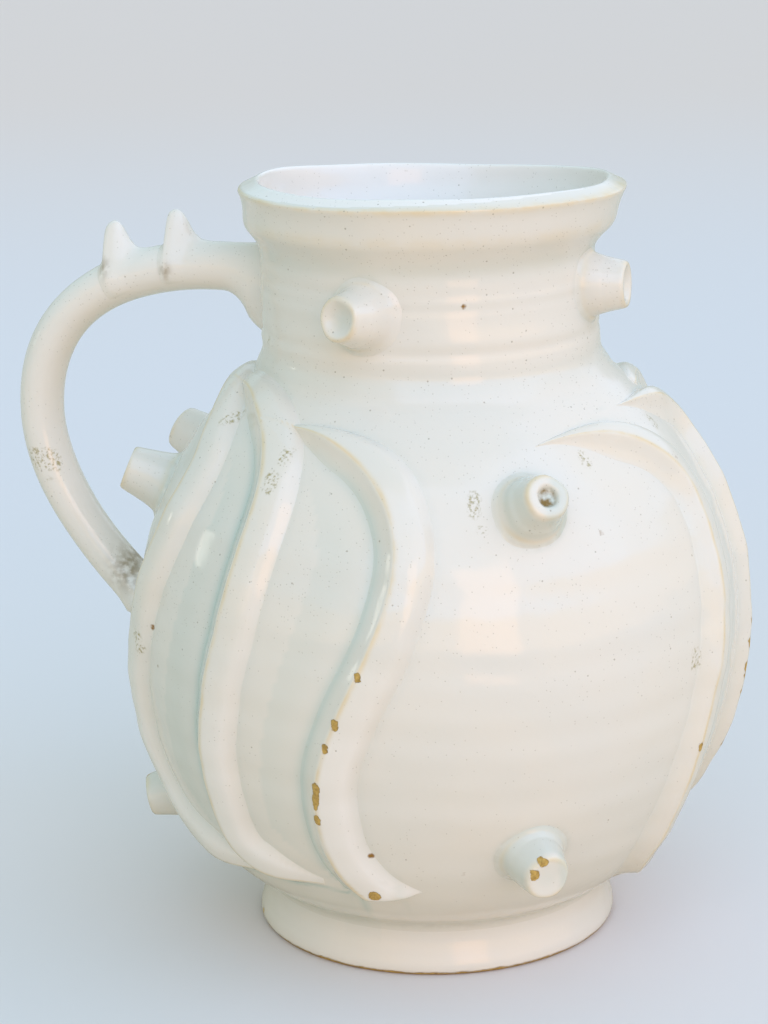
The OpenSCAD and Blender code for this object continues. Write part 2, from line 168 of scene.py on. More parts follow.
# ---------------------------------------------------------------- the wall
@dataclass
class Wall:
    """The thrown wall: its outline, and places on its outer skin.

    Azimuths are degrees from -Y towards +X. Distances along the skin start
    at the joint of foot and globe.
    """

    foot_waist_r: float = 51.0
    foot_h: float = 15.5
    globe_r: float = 88.2
    globe_z: float = 92.0
    seam_z: float = 165.0
    seam_r: float = 54.0
    neck_r: float = 48.4
    cove_r: float = 47.6
    cove_z: float = 201.3
    collar_z: float = 177.0
    lip_r: float = 55.0
    height: float = 222.4
    wall_t: float = 5.6
    ring_h: float = 0.14
    ring_pitch: float = 5.3
    step: float = 1.3
    wander: tuple = ((0, 0), (48, 0.2), (99, 1.5), (150, 1.7), (180, 0.7), (203, 0.0),
                     (209, 0.8), (222, 1.8))
    lip_dips: tuple = ((163, 39, 3.3), (217, 38, 2.1))
    wander_to: float = 15.0

    def globe_line(self) -> Array:
        """Outer outline of the globe, from inside the foot joint to the seam."""
        low = bezier((self.foot_waist_r, self.foot_h), (self.foot_waist_r + 19, self.foot_h + 6.5),
                     (self.globe_r, self.globe_z - 36), (self.globe_r, self.globe_z),
                     np.linspace(0.075, 1, 90))
        high = bezier((self.globe_r, self.globe_z), (self.globe_r, self.globe_z + 32),
                      (self.seam_r + 18, self.seam_z - 15), (self.seam_r, self.seam_z),
                      np.linspace(0, 1, 90)[1:])
        r, z = self.foot_waist_r, self.foot_h
        crease = flowing([(r - 0.25, z - 4.5), (r - 0.02, z - 3.0), (r + 0.3, z - 1.6),
                          (r + 1.2, z - 0.2), (r + 2.6, z + 0.8), tuple(low[0])], 0.4)
        return even(np.vstack([crease[:-1], low, high]), self.step)

    def neck_line(self) -> Array:
        """Outer outline of the neck, from the seam to the lip's outer corner."""
        flare = bezier((self.seam_r, self.seam_z), (self.seam_r - 3.2, self.seam_z + 2.8),
                       (self.neck_r, self.collar_z - 5.5), (self.neck_r, self.collar_z),
                       np.linspace(0, 1, 30))
        z = np.linspace(self.collar_z, self.cove_z - 1.5, 60)[1:]
        share = (z - z[0]) / (z[-1] - z[0])
        turns = (z - self.collar_z) / self.ring_pitch
        rings = self.ring_h * np.sin(2 * math.pi * turns + 1.2 * np.sin(2.1 * turns))
        rings *= (0.6 + 0.4 * np.cos(1.7 * turns)) * (1 - 0.6 * ease(share, 0.55, 1.0))
        collar = np.stack([self.neck_r + (self.cove_r - self.neck_r) * share + rings, z], 1)
        c, h = self.cove_r, self.height
        rim = flowing([tuple(collar[-1]), (c - 0.05, h - 21.2), (c + 0.4, h - 19.2),
                       (c + 1.6, h - 16.9), (c + 3.3, h - 14.8), (c + 4.8, h - 13.0),
                       (c + 5.5, h - 11.0), (c + 5.75, h - 9.2), (c + 6.05, h - 7.2),
                       (c + 6.5, h - 5.2), (c + 7.1, h - 3.6), (c + 7.4, h - 2.9)], 0.5)
        return even(np.vstack([flare[:-1], collar[:-1], rim]), 0.85)

    def lip_line(self) -> Array:
        """Outline over the lip, from its outer corner to the bore."""
        r, h = self.lip_r, self.height
        return flowing([(r, h - 2.9), (r - 0.05, h - 2.5), (r - 0.45, h - 2.15),
                        (r - 1.8, h - 1.55), (r - 3.4, h - 0.75), (r - 4.4, h - 0.22),
                        (r - 5.1, h - 0.02), (r - 5.6, h - 0.35), (r - 6.0, h - 1.3)], 0.45)

    def globe_bore(self) -> Array:
        """Inner outline of the globe, from the seam down to the floor's centre."""
        inner = self.globe_r - self.wall_t
        high = bezier((self.seam_r - self.wall_t, self.seam_z),
                      (self.seam_r - self.wall_t + 18, self.seam_z - 15),
                      (inner, self.globe_z + 30), (inner, self.globe_z), np.linspace(0, 1, 60))
        low = bezier((inner, self.globe_z), (inner, self.globe_z - 30), (62.5, 19), (33.5, 16),
                     np.linspace(0, 1, 60))
        return even(np.vstack([high[:-1], low, [[16.0, 15.6], [0.0, 15.5]]]), 2.2)

    def neck_bore(self) -> Array:
        """Inner outline of the neck, from the lip down to the seam."""
        n = self.neck_r - self.wall_t + 0.4
        start = self.lip_line()[-1]
        return flowing([tuple(start), (n + 4.6, self.cove_z + 15), (n + 2.0, self.cove_z + 8),
                        (n, self.cove_z), (n - 0.3, self.cove_z - 10), (n, self.collar_z + 2),
                        (n + 0.9, self.collar_z - 4), (n + 3.4, self.collar_z - 9),
                        (self.seam_r - self.wall_t, self.seam_z)], 1.6)

    def __post_init__(self) -> None:
        """Measures the skin once."""
        self.skin = np.vstack([self.globe_line()[:-1], self.neck_line()])
        steps = np.linalg.norm(np.diff(self.skin, axis=0), axis=1)
        self.along = np.concatenate([[0], np.cumsum(steps)])

    def at_height(self, z: Array) -> Array:
        """Distance along the skin at a height."""
        return np.interp(z, self.skin[:, 1], self.along)

    def skin_at(self, s: Array) -> Array:
        """Radius and height of the skin at a distance along it."""
        return np.stack([np.interp(s, self.along, self.skin[:, i]) for i in (0, 1)], -1)

    def place(self, azimuth: Array, s: Array, lift: Array = 0.0) -> Array:
        """Points on the skin, or lift above it, before the hand's unevenness."""
        d = self.skin_at(s + 1.5) - self.skin_at(s - 1.5)
        n = np.stack([d[..., 1], -d[..., 0]], -1) / np.linalg.norm(d, axis=-1, keepdims=True)
        p = self.skin_at(s) + np.asarray(lift, float)[..., None] * n
        a = np.radians(azimuth)
        return np.stack([p[..., 0] * np.sin(a), -p[..., 0] * np.cos(a), p[..., 1]], -1)

    def uneven(self, points: Array) -> Array:
        """Moves points as the hand did: the axis wanders, the wall and lip wave.

        Args:
            points: true-turned places, in millimetres.

        Returns:
            The places on the pot as it came off the wheel.
        """
        x, y, z = points.T
        a = np.arctan2(x, -y)
        r = np.hypot(x, y)
        grow = (0.22 * np.sin(2 * a + 0.6 + z / 45) + 0.14 * np.sin(3 * a - 1.1 - z / 31)
                + 0.07 * np.sin(5 * a + z / 17) + 0.09 * np.sin(z / 2.9 + 1.3 * np.sin(a + 0.4))
                + 0.06 * np.sin(z / 1.55 + 2.1 * np.sin(2 * a))
                + 0.15 * bell(z, 174, 10) * np.sin(z / 1.07 + 0.8 * np.sin(a)))
        grow *= ease(z, 6, 26) * ease(r, 20, 42)
        scale = 1 + grow / np.maximum(r, 1)
        heights, shifts = np.array(self.wander).T
        shift = np.interp(z, heights, shifts)
        to = math.radians(self.wander_to)
        degrees = np.degrees(a) % 360
        wave = 0.3 * np.sin(3 * a + 0.3) + 0.12 * np.sin(7 * a + 1.0)
        for middle, width, depth in self.lip_dips:
            wave = wave - depth * bell(degrees, middle, width)
        wave *= ease(z, 196, 221)
        return np.stack([x * scale + shift * math.cos(to), y * scale + shift * math.sin(to),
                         z + wave], 1)


# ---------------------------------------------------------------- laying clay
class SweepTree:
    """Geometry Nodes tree that lays a section along stations and presses it on to a wall.

    The modified mesh is the line of stations. Its attributes say, for each
    station, which way the section's X and Y run, how far its Z lifts off the
    wall, and how closely it hugs that wall.
    """

    name = "lay_clay"

    def __init__(self) -> None:
        """Builds the tree."""
        self.tree = bpy.data.node_groups.new(self.name, "GeometryNodeTree")
        self.ids: dict[str, str] = {}
        face = self.tree.interface
        face.new_socket("Stations", in_out="INPUT", socket_type="NodeSocketGeometry")
        for label, kind in (("Section", "NodeSocketObject"), ("Wall", "NodeSocketObject"),
                            ("Station Count", "NodeSocketInt"),
                            ("Section Points", "NodeSocketInt"),
                            ("Sink", "NodeSocketFloat"), ("Glaze", "NodeSocketMaterial")):
            socket = face.new_socket(label, in_out="INPUT", socket_type=kind)
            self.ids[label] = socket.identifier
        face.new_socket("Clay", in_out="OUTPUT", socket_type="NodeSocketGeometry")
        self._fill()

    def _fill(self) -> None:
        """Adds the nodes and joins them."""
        t = self.tree
        ins = add(t, "NodeGroupInput").outputs
        grid = add(t, "GeometryNodeMeshGrid", {
            "Size X": 1.0, "Size Y": 1.0, "Vertices X": ins["Station Count"],
            "Vertices Y": ins["Section Points"]})
        index = add(t, "GeometryNodeInputIndex")
        row = add(t, "FunctionNodeIntegerMath", {0: index, 1: ins["Section Points"]},
                  operation="DIVIDE_FLOOR")
        column = add(t, "FunctionNodeIntegerMath", {0: index, 1: ins["Section Points"]},
                     operation="MODULO")
        here = add(t, "GeometryNodeInputPosition")
        section = add(t, "GeometryNodeObjectInfo", {"Object": ins["Section"]})
        shape = add(t, "GeometryNodeSampleIndex", {
            "Geometry": section.outputs["Geometry"], "Value": here, "Index": column},
            data_type="FLOAT_VECTOR")
        part = add(t, "ShaderNodeSeparateXYZ", {0: shape}).outputs

        station: dict[str, bpy.types.Node] = {}
        for label, kind in (("across", "FLOAT_VECTOR"), ("up", "FLOAT_VECTOR"),
                            ("lift", "FLOAT"), ("hug", "FLOAT")):
            value = add(t, "GeometryNodeInputNamedAttribute", {"Name": label}, data_type=kind)
            station[label] = add(t, "GeometryNodeSampleIndex", {
                "Geometry": ins["Stations"], "Value": value, "Index": row}, data_type=kind)
        centre = add(t, "GeometryNodeSampleIndex", {
            "Geometry": ins["Stations"], "Value": here, "Index": row}, data_type="FLOAT_VECTOR")
        side = add(t, "ShaderNodeVectorMath", {0: station["across"], "Scale": part["X"]},
                   operation="SCALE")
        rise = add(t, "ShaderNodeVectorMath", {0: station["up"], "Scale": part["Y"]},
                   operation="SCALE")
        flat = add(t, "ShaderNodeVectorMath", {0: side, 1: rise}, operation="ADD")
        free = add(t, "ShaderNodeVectorMath", {0: centre, 1: flat}, operation="ADD")

        wall = add(t, "GeometryNodeObjectInfo", {"Object": ins["Wall"]})
        normal = add(t, "GeometryNodeInputNamedAttribute", {"Name": "wall_normal"},
                     data_type="FLOAT_VECTOR")
        found = {}
        for label, value in (("place", here), ("normal", normal)):
            found[label] = add(t, "GeometryNodeSampleNearestSurface", {
                "Mesh": wall.outputs["Geometry"], "Value": value, "Sample Position": free},
                data_type="FLOAT_VECTOR")
        height = add(t, "ShaderNodeMath", {0: part["Z"], 1: station["lift"]},
                     operation="MULTIPLY")
        sunk = add(t, "ShaderNodeMath", {0: height, 1: ins["Sink"]}, operation="SUBTRACT")
        off = add(t, "ShaderNodeVectorMath", {0: found["normal"], "Scale": sunk},
                  operation="SCALE")
        pressed = add(t, "ShaderNodeVectorMath", {0: found["place"], 1: off}, operation="ADD")
        way = add(t, "ShaderNodeVectorMath", {0: pressed, 1: free}, operation="SUBTRACT")
        part_way = add(t, "ShaderNodeVectorMath", {0: way, "Scale": station["hug"]},
                       operation="SCALE")
        final = add(t, "ShaderNodeVectorMath", {0: free, 1: part_way}, operation="ADD")
        moved = add(t, "GeometryNodeSetPosition", {
            "Geometry": grid.outputs["Mesh"], "Position": final})
        closed = add(t, "GeometryNodeMergeByDistance", {
            "Geometry": moved, "Distance": 2e-6})
        smooth = add(t, "GeometryNodeSetShadeSmooth", {"Geometry": closed})
        real = add(t, "GeometryNodeRealizeInstances", {"Geometry": smooth})
        dressed = add(t, "GeometryNodeSetMaterial", {
            "Geometry": real, "Material": ins["Glaze"]})
        out = add(t, "NodeGroupOutput")
        t.links.new(dressed.outputs[0], out.inputs["Clay"])


@dataclass
class Stations:
    """A line of stations in millimetres, with what the sweep needs at each."""

    centre: Array
    across: Array
    up: Array
    lift: Array
    hug: Array


class ClayShop:
    """Makes meshes: turns outlines, lays clay with the sweep, and keeps scratch pieces."""

    def __init__(self, wall: Wall) -> None:
        """Builds the sweep tree and the scratch copy of the wall.

        Args:
            wall: the thrown wall that clay is laid on.
        """
        self.wall = wall
        self.sweep = SweepTree()
        self.scratch: list[bpy.types.Object] = []
        self.scratch_wall = self._wall_guide()

    def mesh_object(self, name: str, points: Array, edges: Array | None = None,
                    faces: Array | None = None) -> bpy.types.Object:
        """Makes a linked mesh object from points in millimetres."""
        mesh = bpy.data.meshes.new(name)
        mesh.from_pydata((np.asarray(points) * MM).tolist(),
                         [] if edges is None else edges.tolist(),
                         [] if faces is None else faces.tolist())
        obj = bpy.data.objects.new(name, mesh)
        bpy.context.scene.collection.objects.link(obj)
        return obj

    def store(self, obj: bpy.types.Object, name: str, values: Array) -> None:
        """Writes a vertex attribute of numbers or vectors."""
        values = np.asarray(values, np.float32)
        vector = values.ndim == 2
        kind, key = ("FLOAT_VECTOR", "vector") if vector else ("FLOAT", "value")
        attribute = obj.data.attributes.get(name) or obj.data.attributes.new(name, kind, "POINT")
        attribute.data.foreach_set(key, values.ravel())

    def keep_normals(self, obj: bpy.types.Object) -> None:
        """Stores the smooth normals that pressed clay follows."""
        normals = np.zeros(len(obj.data.vertices) * 3, np.float32)
        obj.data.vertices.foreach_get("normal", normals)
        self.store(obj, "wall_normal", normals.reshape(-1, 3))

    def _wall_guide(self) -> bpy.types.Object:
        """The outer skin alone, closely meshed, for clay to be pressed on."""
        line = self.wall.skin
        segments = 480
        a = np.radians(np.arange(segments) * 360 / segments)
        grid = np.stack([line[:, None, 0] * np.sin(a), -line[:, None, 0] * np.cos(a),
                         np.repeat(line[:, 1:2], segments, 1)], -1)
        obj = self.mesh_object("wall_guide", self.wall.uneven(grid.reshape(-1, 3)),
                               faces=self._quads(len(line), segments))
        self.keep_normals(obj)
        self.scratch.append(obj)
        return obj

    @staticmethod
    def _quads(rows: int, columns: int) -> Array:
        """Faces of a grid that closes round its columns, facing outwards."""
        i, j = np.meshgrid(np.arange(rows - 1), np.arange(columns), indexing="ij")
        k = (j + 1) % columns
        return np.stack([i * columns + j, i * columns + k, (i + 1) * columns + k,
                         (i + 1) * columns + j], -1).reshape(-1, 4)

    @staticmethod
    def corners(outline: Array, hold: float = 0.07) -> tuple[Array, Array]:
        """Readies an outline's corners to stay sharp under smooth shading.

        Args:
            outline: radius and height; doubled points are dropped.
            hold: how far from a corner the points that hold it sit.

        Returns:
            The outline with a point close to either side of each corner, and
            which of its points are corners.
        """
        far = np.linalg.norm(np.diff(outline, axis=0), axis=1) > 0.02
        line = outline[np.concatenate([[True], far])]
        out, sharp = [], []
        for i, p in enumerate(line):
            before, after = line[i - 1] - p, line[(i + 1) % len(line)] - p
            b, c = np.linalg.norm(before), np.linalg.norm(after)
            corner = before @ after > -0.8 * b * c and p[0] > 0.01
            if corner and b > 3 * hold:
                out.append(p + before / b * hold)
                sharp.append(False)
            out.append(p)
            sharp.append(corner)
            if corner and c > 3 * hold:
                out.append(p + after / c * hold)
                sharp.append(False)
        return np.array(out), np.array(sharp)

    def turn(self, name: str, outline: Array, segments: int) -> bpy.types.Object:
        """Carries a closed outline round the axis.

        Args:
            name: the piece's name.
            outline: radius and height, running anticlockwise; radius 0 is a pole.
            segments: steps round the axis.

        Returns:
            The closed, smooth piece.
        """
        line, sharp = self.corners(outline)
        a = np.radians(np.arange(segments) * 360 / segments)
        points, faces, rows = [], [], []
        for r, z in line:
            start = len(points)
            if r < 0.01:
                points.append((0, 0, z))
                rows.append([start] * segments)
            else:
                points += list(zip(r * np.sin(a), -r * np.cos(a), np.full(segments, z)))
                rows.append(list(range(start, start + segments)))
        pairs = list(zip(rows, rows[1:]))
        if line[0][0] > 0.01:
            pairs.append((rows[-1], rows[0]))
        for low, high in pairs:
            for j in range(segments):
                k = (j + 1) % segments
                corner = [low[j], low[k], high[k], high[j]]
                corner = [c for n, c in enumerate(corner) if c != corner[n - 1]]
                if len(corner) > 2:
                    faces.append(corner)
        mesh = bpy.data.meshes.new(name)
        mesh.from_pydata((self.wall.uneven(np.array(points, float)) * MM).tolist(), [], faces)
        mesh.polygons.foreach_set("use_smooth", [True] * len(mesh.polygons))
        ring = np.full(len(points), -1)
        for k, row in enumerate(rows):
            ring[row] = k if sharp[k] else -1
        ends = np.zeros(len(mesh.edges) * 2, int)
        mesh.edges.foreach_get("vertices", ends)
        first, last = ring[ends.reshape(-1, 2)].T
        mesh.edges.foreach_set("use_edge_sharp", (first >= 0) & (first == last))
        obj = bpy.data.objects.new(name, mesh)
        bpy.context.scene.collection.objects.link(obj)
        self.face_outwards(obj)
        return obj

    def slab(self, name: str, low: Array, high: Array) -> bpy.types.Object:
        """Makes a closed lump between two grids of points of the same size.

        Args:
            name: the piece's name.
            low: the grid of its hidden side, rows by columns by 3.
            high: the grid of its outer side.

        Returns:
            The smooth, closed piece.
        """
        rows, columns = low.shape[:2]
        index = np.arange(rows * columns).reshape(rows, columns)
        quads = np.stack([index[:-1, :-1], index[:-1, 1:], index[1:, 1:], index[1:, :-1]],
                         -1).reshape(-1, 4)
        rim = np.concatenate([index[0, :-1], index[:-1, -1], index[-1, :0:-1], index[:0:-1, 0]])
        after, top = np.roll(rim, -1), rows * columns
        sides = np.stack([rim, after, after + top, rim + top], -1)
        obj = self.mesh_object(name, np.concatenate([low.reshape(-1, 3), high.reshape(-1, 3)]),
                               faces=np.concatenate([quads[:, ::-1], quads + top, sides]))
        obj.data.polygons.foreach_set("use_smooth", [True] * len(obj.data.polygons))
        self.face_outwards(obj)
        return obj

    @staticmethod
    def volume(obj: bpy.types.Object) -> float:
        """Signed volume of a closed mesh."""
        mesh = obj.data
        mesh.calc_loop_triangles()
        co = np.zeros(len(mesh.vertices) * 3)
        mesh.vertices.foreach_get("co", co)
        tri = np.zeros(len(mesh.loop_triangles) * 3, int)
        mesh.loop_triangles.foreach_get("vertices", tri)
        a, b, c = co.reshape(-1, 3)[tri.reshape(-1, 3)].transpose(1, 0, 2)
        return float(np.einsum("ij,ij->i", a, np.cross(b, c)).sum() / 6)

    def face_outwards(self, obj: bpy.types.Object) -> None:
        """Turns a closed mesh so that its faces point outwards."""
        if self.volume(obj) < 0:
            obj.data.flip_normals()

    def section(self, name: str, points: Array) -> bpy.types.Object:
        """A closed cross-section for the sweep; its first point is repeated last."""
        points = np.vstack([points, points[:1]])
        n = len(points)
        obj = self.mesh_object(name, points / MM, np.stack([np.arange(n - 1),
                                                            np.arange(1, n)], 1))
        self.scratch.append(obj)
        return obj

    def lay(self, name: str, stations: Stations, section: bpy.types.Object,
            glaze: bpy.types.Material, sink: float = 0.12) -> bpy.types.Object:
        """Lays a section along stations and turns the result to a plain mesh.

        Args:
            name: the piece's name.
            stations: where the section goes.
            section: the scratch cross-section.
            glaze: the material to set.
            sink: how far the clay's edges lie under the wall.

        Returns:
            The closed piece, with its faces outwards.
        """
        count = len(stations.centre)
        guide = self.mesh_object(name + "_line", stations.centre,
                                 np.stack([np.arange(count - 1), np.arange(1, count)], 1))
        for label in ("across", "up"):
            self.store(guide, label, getattr(stations, label) * MM)
        self.store(guide, "lift", stations.lift * MM)
        self.store(guide, "hug", stations.hug)
        modifier = guide.modifiers.new("lay clay", "NODES")
        modifier.node_group = self.sweep.tree
        for label, value in (("Section", section), ("Wall", self.scratch_wall),
                             ("Station Count", count),
                             ("Section Points", len(section.data.vertices)),
                             ("Sink", sink * MM), ("Glaze", glaze)):
            modifier[self.sweep.ids[label]] = value
        bpy.context.view_layer.update()
        shown = guide.evaluated_get(bpy.context.evaluated_depsgraph_get())
        mesh = bpy.data.meshes.new_from_object(shown)
        guide.modifiers.remove(modifier)
        bpy.data.objects.remove(guide)
        mesh.name = name
        obj = bpy.data.objects.new(name, mesh)
        bpy.context.scene.collection.objects.link(obj)
        self.face_outwards(obj)
        return obj

    def sweep_up(self) -> None:
        """Removes the scratch pieces."""
        for obj in self.scratch:
            bpy.data.objects.remove(obj)
        self.scratch.clear()
        bpy.data.node_groups.remove(self.sweep.tree)


# ---------------------------------------------------------------- applied clay
class Toe(Enum):
    """How the lower end of a rib is finished."""

    LEVEL = "cut off level"
    TAPERED = "drawn out thin"


@dataclass(frozen=True)
class Rib:
    """One applied S rib: where it bows, and how its ends sit.

    Azimuths and offsets are in degrees, heights and widths in millimetres.
    Arch says how far the rib climbs past its own start. The flank is the
    width of its steep side, root the share of its height that is left at the
    upper end, the pooled share says how much thick-glaze tone lies along it,
    partly glaze that ran in and partly painted shade and reflection, and worn
    counts the flakes knocked off its crest.
    """

    name: str
    node: str
    bow: float
    sweep: float
    lean: float
    kick: float
    top_z: float
    end_z: float
    bow_z: float = 134.0
    lean_z: float = 61.0
    arch: float = 1.019
    toe: Toe = Toe.TAPERED
    flank: float = 6.2
    top_w: float = 10.8
    thick: float = 4.0
    root: float = 0.04
    pooled_and_shaded: float = 1.0
    worn: int = 2


RIBS = (
    Rib("left_rib_outer", "rib_left_1", -51, 37, 13, 34.5, 163, 31.5, 141, 62, 1.03,
        thick=4.4, root=0.5, pooled_and_shaded=0.5, worn=3),
    Rib("left_rib_middle", "rib_left_2", -24.5, 39.5, 7.5, 21, 164.5, 33.5, 140, 54, 1.01,
        root=0.6, worn=0),
    Rib("left_rib_inner", "rib_left_3", 7, 41, 14, 8, 159.5, 32.5, 131, 61, 1.01,
        Toe.LEVEL, pooled_and_shaded=0.7, worn=7),
    Rib("right_rib_inner", "rib_right_1", 79, 40, 9.5, 23.5, 156, 21.5, 135, 39, 1.025,
        Toe.LEVEL, flank=6.6, pooled_and_shaded=0.1, worn=1),
    Rib("right_rib_middle", "rib_right_2", 107, 33, 7, 20.5, 161, 28, 145, 64.5, 0.995,
        Toe.LEVEL, flank=6.6, thick=4.5, pooled_and_shaded=0.1, worn=6),
    Rib("right_rib_outer", "rib_right_3", 135, 33, 9, 20, 161.5, 28, 138, 61, 1.01,
        root=0.3, pooled_and_shaded=0.2),
    Rib("back_rib_outer", "rib_back_1", 188, 40, 11, 14, 157.5, 28, 134, 61, 1.02,
        Toe.LEVEL, pooled_and_shaded=0.4),
    Rib("back_rib_middle", "rib_back_2", 213.5, 36, 9, 21, 162.5, 30, 138, 58, 1.01,
        root=0.4, pooled_and_shaded=0.6),
    Rib("back_rib_inner", "rib_back_3", 239.5, 34, 10, 22, 163.5, 30, 140, 58, 1.02,
        root=0.4),
)


@dataclass
class RibSet:
    """The nine S ribs: strips rolled flat on one side, luted on and smoothed off."""

    shop: ClayShop
    crown: float = 0.978
    count: int = 210
    lines: dict[str, Array] = field(default_factory=dict)

    def section(self) -> bpy.types.Object:
        """The ribs' cross-section, in shares: a hollow steep side, then a broad top.

        X holds the steep side and Y the broad top, so that each can have its
        own width; Z is the share of the rib's height.
        """
        top = flowing([(-1.0, 0.0), (-0.93, 0.05), (-0.78, 0.155), (-0.56, 0.35),
                       (-0.35, 0.6), (-0.2, 0.81), (-0.09, 0.955), (0.0, 1.0)], 0.075)
        level = flowing([(0.0, 1.0), (0.09, 1.0), (0.22, 0.975), (0.36, 0.93), (0.5, 0.86),
                         (0.62, 0.76), (0.72, 0.61), (0.81, 0.41), (0.9, 0.19),
                         (0.96, 0.06), (1.0, 0.0)], 0.05)
        under = np.array([(0.8, -0.24), (0.4, -0.25), (-0.2, -0.25), (-0.8, -0.24)])
        outline = np.vstack([top, level[1:], under])
        return self.shop.section("rib_section", np.stack(
            [np.minimum(outline[:, 0], 0), np.maximum(outline[:, 0], 0), outline[:, 1]], 1))

    def path(self, rib: Rib, t: Array) -> tuple[Array, Array]:
        """Azimuth and distance along the skin at the shares t of a rib's length."""
        t = np.asarray(t, float)
        out = np.zeros(t.shape + (2,))
        bow, lean = (0, rib.bow_z), (-rib.lean, rib.lean_z)
        drop = rib.bow_z - rib.lean_z
        top, middle, bottom = t < 0.36, (t >= 0.36) & (t < 0.72), t >= 0.72
        out[top] = bezier((-rib.sweep, rib.top_z), (-rib.sweep * 0.58, rib.top_z * rib.arch),
                          (0, rib.top_z * self.crown), bow, t[top] / 0.36)
        out[middle] = bezier(bow, (0, rib.bow_z - 0.28 * drop),
                             (-rib.lean, rib.lean_z + 0.37 * drop), lean,
                             (t[middle] - 0.36) / 0.36)
        out[bottom] = bezier(lean, (-rib.lean, rib.lean_z * 0.67),
                             (-rib.lean + 6, rib.end_z * 1.07),
                             (rib.kick - rib.lean, rib.end_z), (t[bottom] - 0.72) / 0.28)
        return rib.bow + out[..., 0], self.shop.wall.at_height(out[..., 1])

    def stations(self, rib: Rib) -> Stations:
        """Stations down a rib, with its thin tail at the top and its toe at the end."""
        wall = self.shop.wall
        azimuth, s = self.path(rib, np.linspace(0, 1, 1200))
        walk = wall.uneven(wall.place(azimuth, s))
        length = np.concatenate([[0], np.cumsum(np.linalg.norm(np.diff(walk, axis=0), axis=1))])
        head = np.linspace(0, 1, 12) ** 2 * 5
        toe = length[-1] - np.linspace(1, 0, 12) ** 2 * 6
        between = np.linspace(head[-1], toe[0], self.count)[1:-1]
        at = np.concatenate([head, between, toe])
        azimuth, s = (np.interp(at, length, v) for v in (azimuth, s))
        centre = wall.uneven(wall.place(azimuth, s))
        run = np.gradient(centre, at, axis=0)
        run /= np.linalg.norm(run, axis=1, keepdims=True)
        out = wall.place(azimuth, s, 1.0) - wall.place(azimuth, s, 0.0)
        across = np.cross(out, run)
        across /= np.linalg.norm(across, axis=1, keepdims=True)
        wave = 0.05 * np.sin(at / 9 + rib.bow) + 0.03 * np.sin(at / 4.1 + 2 * rib.bow)
        lift = (rib.root + (1 - rib.root) * ease(at, 0, 26)) * (1 + wave) * rib.thick
        blunt = np.sqrt(np.clip(1 - (1 - np.clip(at / 5, 0, 1)) ** 2, 0, 1))
        lift *= blunt if rib.root > 0.1 else ease(at, -1, 3)
        start = max(rib.root, 0.03)
        steep = rib.flank * (start + (1 - start) * ease(at, 0, 30)) * (1 + 0.6 * wave)
        broad = rib.top_w * (start + (1 - start) * ease(at, 0, 48)) * (1 - 0.5 * wave)
        left = length[-1] - at
        if rib.toe is Toe.LEVEL:
            lift *= np.sqrt(np.clip(1 - (1 - np.clip(left / 2.6, 0, 1)) ** 2, 0, 1))
            # The strip was cut off level, so its end runs square to the axis
            slant = -across[:, 2] / np.minimum(run[:, 2], -0.2) * (1 - ease(left, 0, 18))
            across = across + run * slant[:, None]
        else:
            lift *= 0.03 + 0.97 * ease(left, -2, 22)
            steep *= 0.35 + 0.65 * ease(left, 0, 18)
            broad *= 0.35 + 0.65 * ease(left, 0, 18)
        for width in (steep, broad, lift):
            width[[0, -1]] = 0
        self.lines[rib.name] = np.hstack([centre, across, steep[:, None], broad[:, None]])
        return Stations(centre, across * steep[:, None], across * broad[:, None], lift,
                        np.ones(len(at)))

    def build(self, glaze: bpy.types.Material) -> list[bpy.types.Object]:
        """Lays all the ribs."""
        pieces = []
        section = self.section()
        for rib in RIBS:
            obj = self.shop.lay(rib.name, self.stations(rib), section, glaze)
            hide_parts(rib.node)
            pieces.append(obj)
        return pieces

    def near(self, points: Array) -> tuple[Array, Array, Array]:
        """For each point, the rib line nearest to it.

        Args:
            points: places in millimetres.

        Returns:
            The distance across that rib as a share of its steep side (below
            zero) or its broad top, the distance to its line in millimetres,
            and how much thick-glaze tone lies along it, partly glaze that ran in
            and partly painted shade and reflection.
        """
        best = np.full(len(points), 1e9)
        across = np.zeros(len(points))
        pooled_and_shaded = np.zeros(len(points))
        for rib in RIBS:
            line = self.lines[rib.name][2:-2:2]
            centre, side = line[:, :3], line[:, 3:6]
            for start in range(0, len(points), 4000):
                part = points[start:start + 4000]
                gap = part[:, None, :] - centre[None]
                d2 = (gap ** 2).sum(-1)
                k = d2.argmin(1)
                rows = np.arange(len(part))
                near = np.sqrt(d2[rows, k])
                better = near < best[start:start + 4000]
                sided = (gap[rows, k] * side[k]).sum(-1)
                sided /= np.maximum(np.where(sided < 0, line[k, 6], line[k, 7]), 0.5)
                best[start:start + 4000][better] = near[better]
                across[start:start + 4000][better] = sided[better]
                along = ease(k / len(centre), 0.04, 0.3)
                pooled_and_shaded[start:start + 4000][better] = (rib.pooled_and_shaded * along)[better]
        return across, best, pooled_and_shaded


class Tip(Enum):
    """How the potter finished the end of a stud."""

    DISHED = "pressed with a fingertip"
    FLAT = "patted flat"
    POKED = "poked with a stick"


@dataclass(frozen=True)
class Stud:
    """One applied stud: where it sits, where it points, and how its end is shaped."""

    name: str
    node: str
    azimuth: float
    z: float
    aim: float
    rise: float
    length: float = 12.5
    tip: Tip = Tip.DISHED
    squash: float = 1.0
    twist: float = 0.0


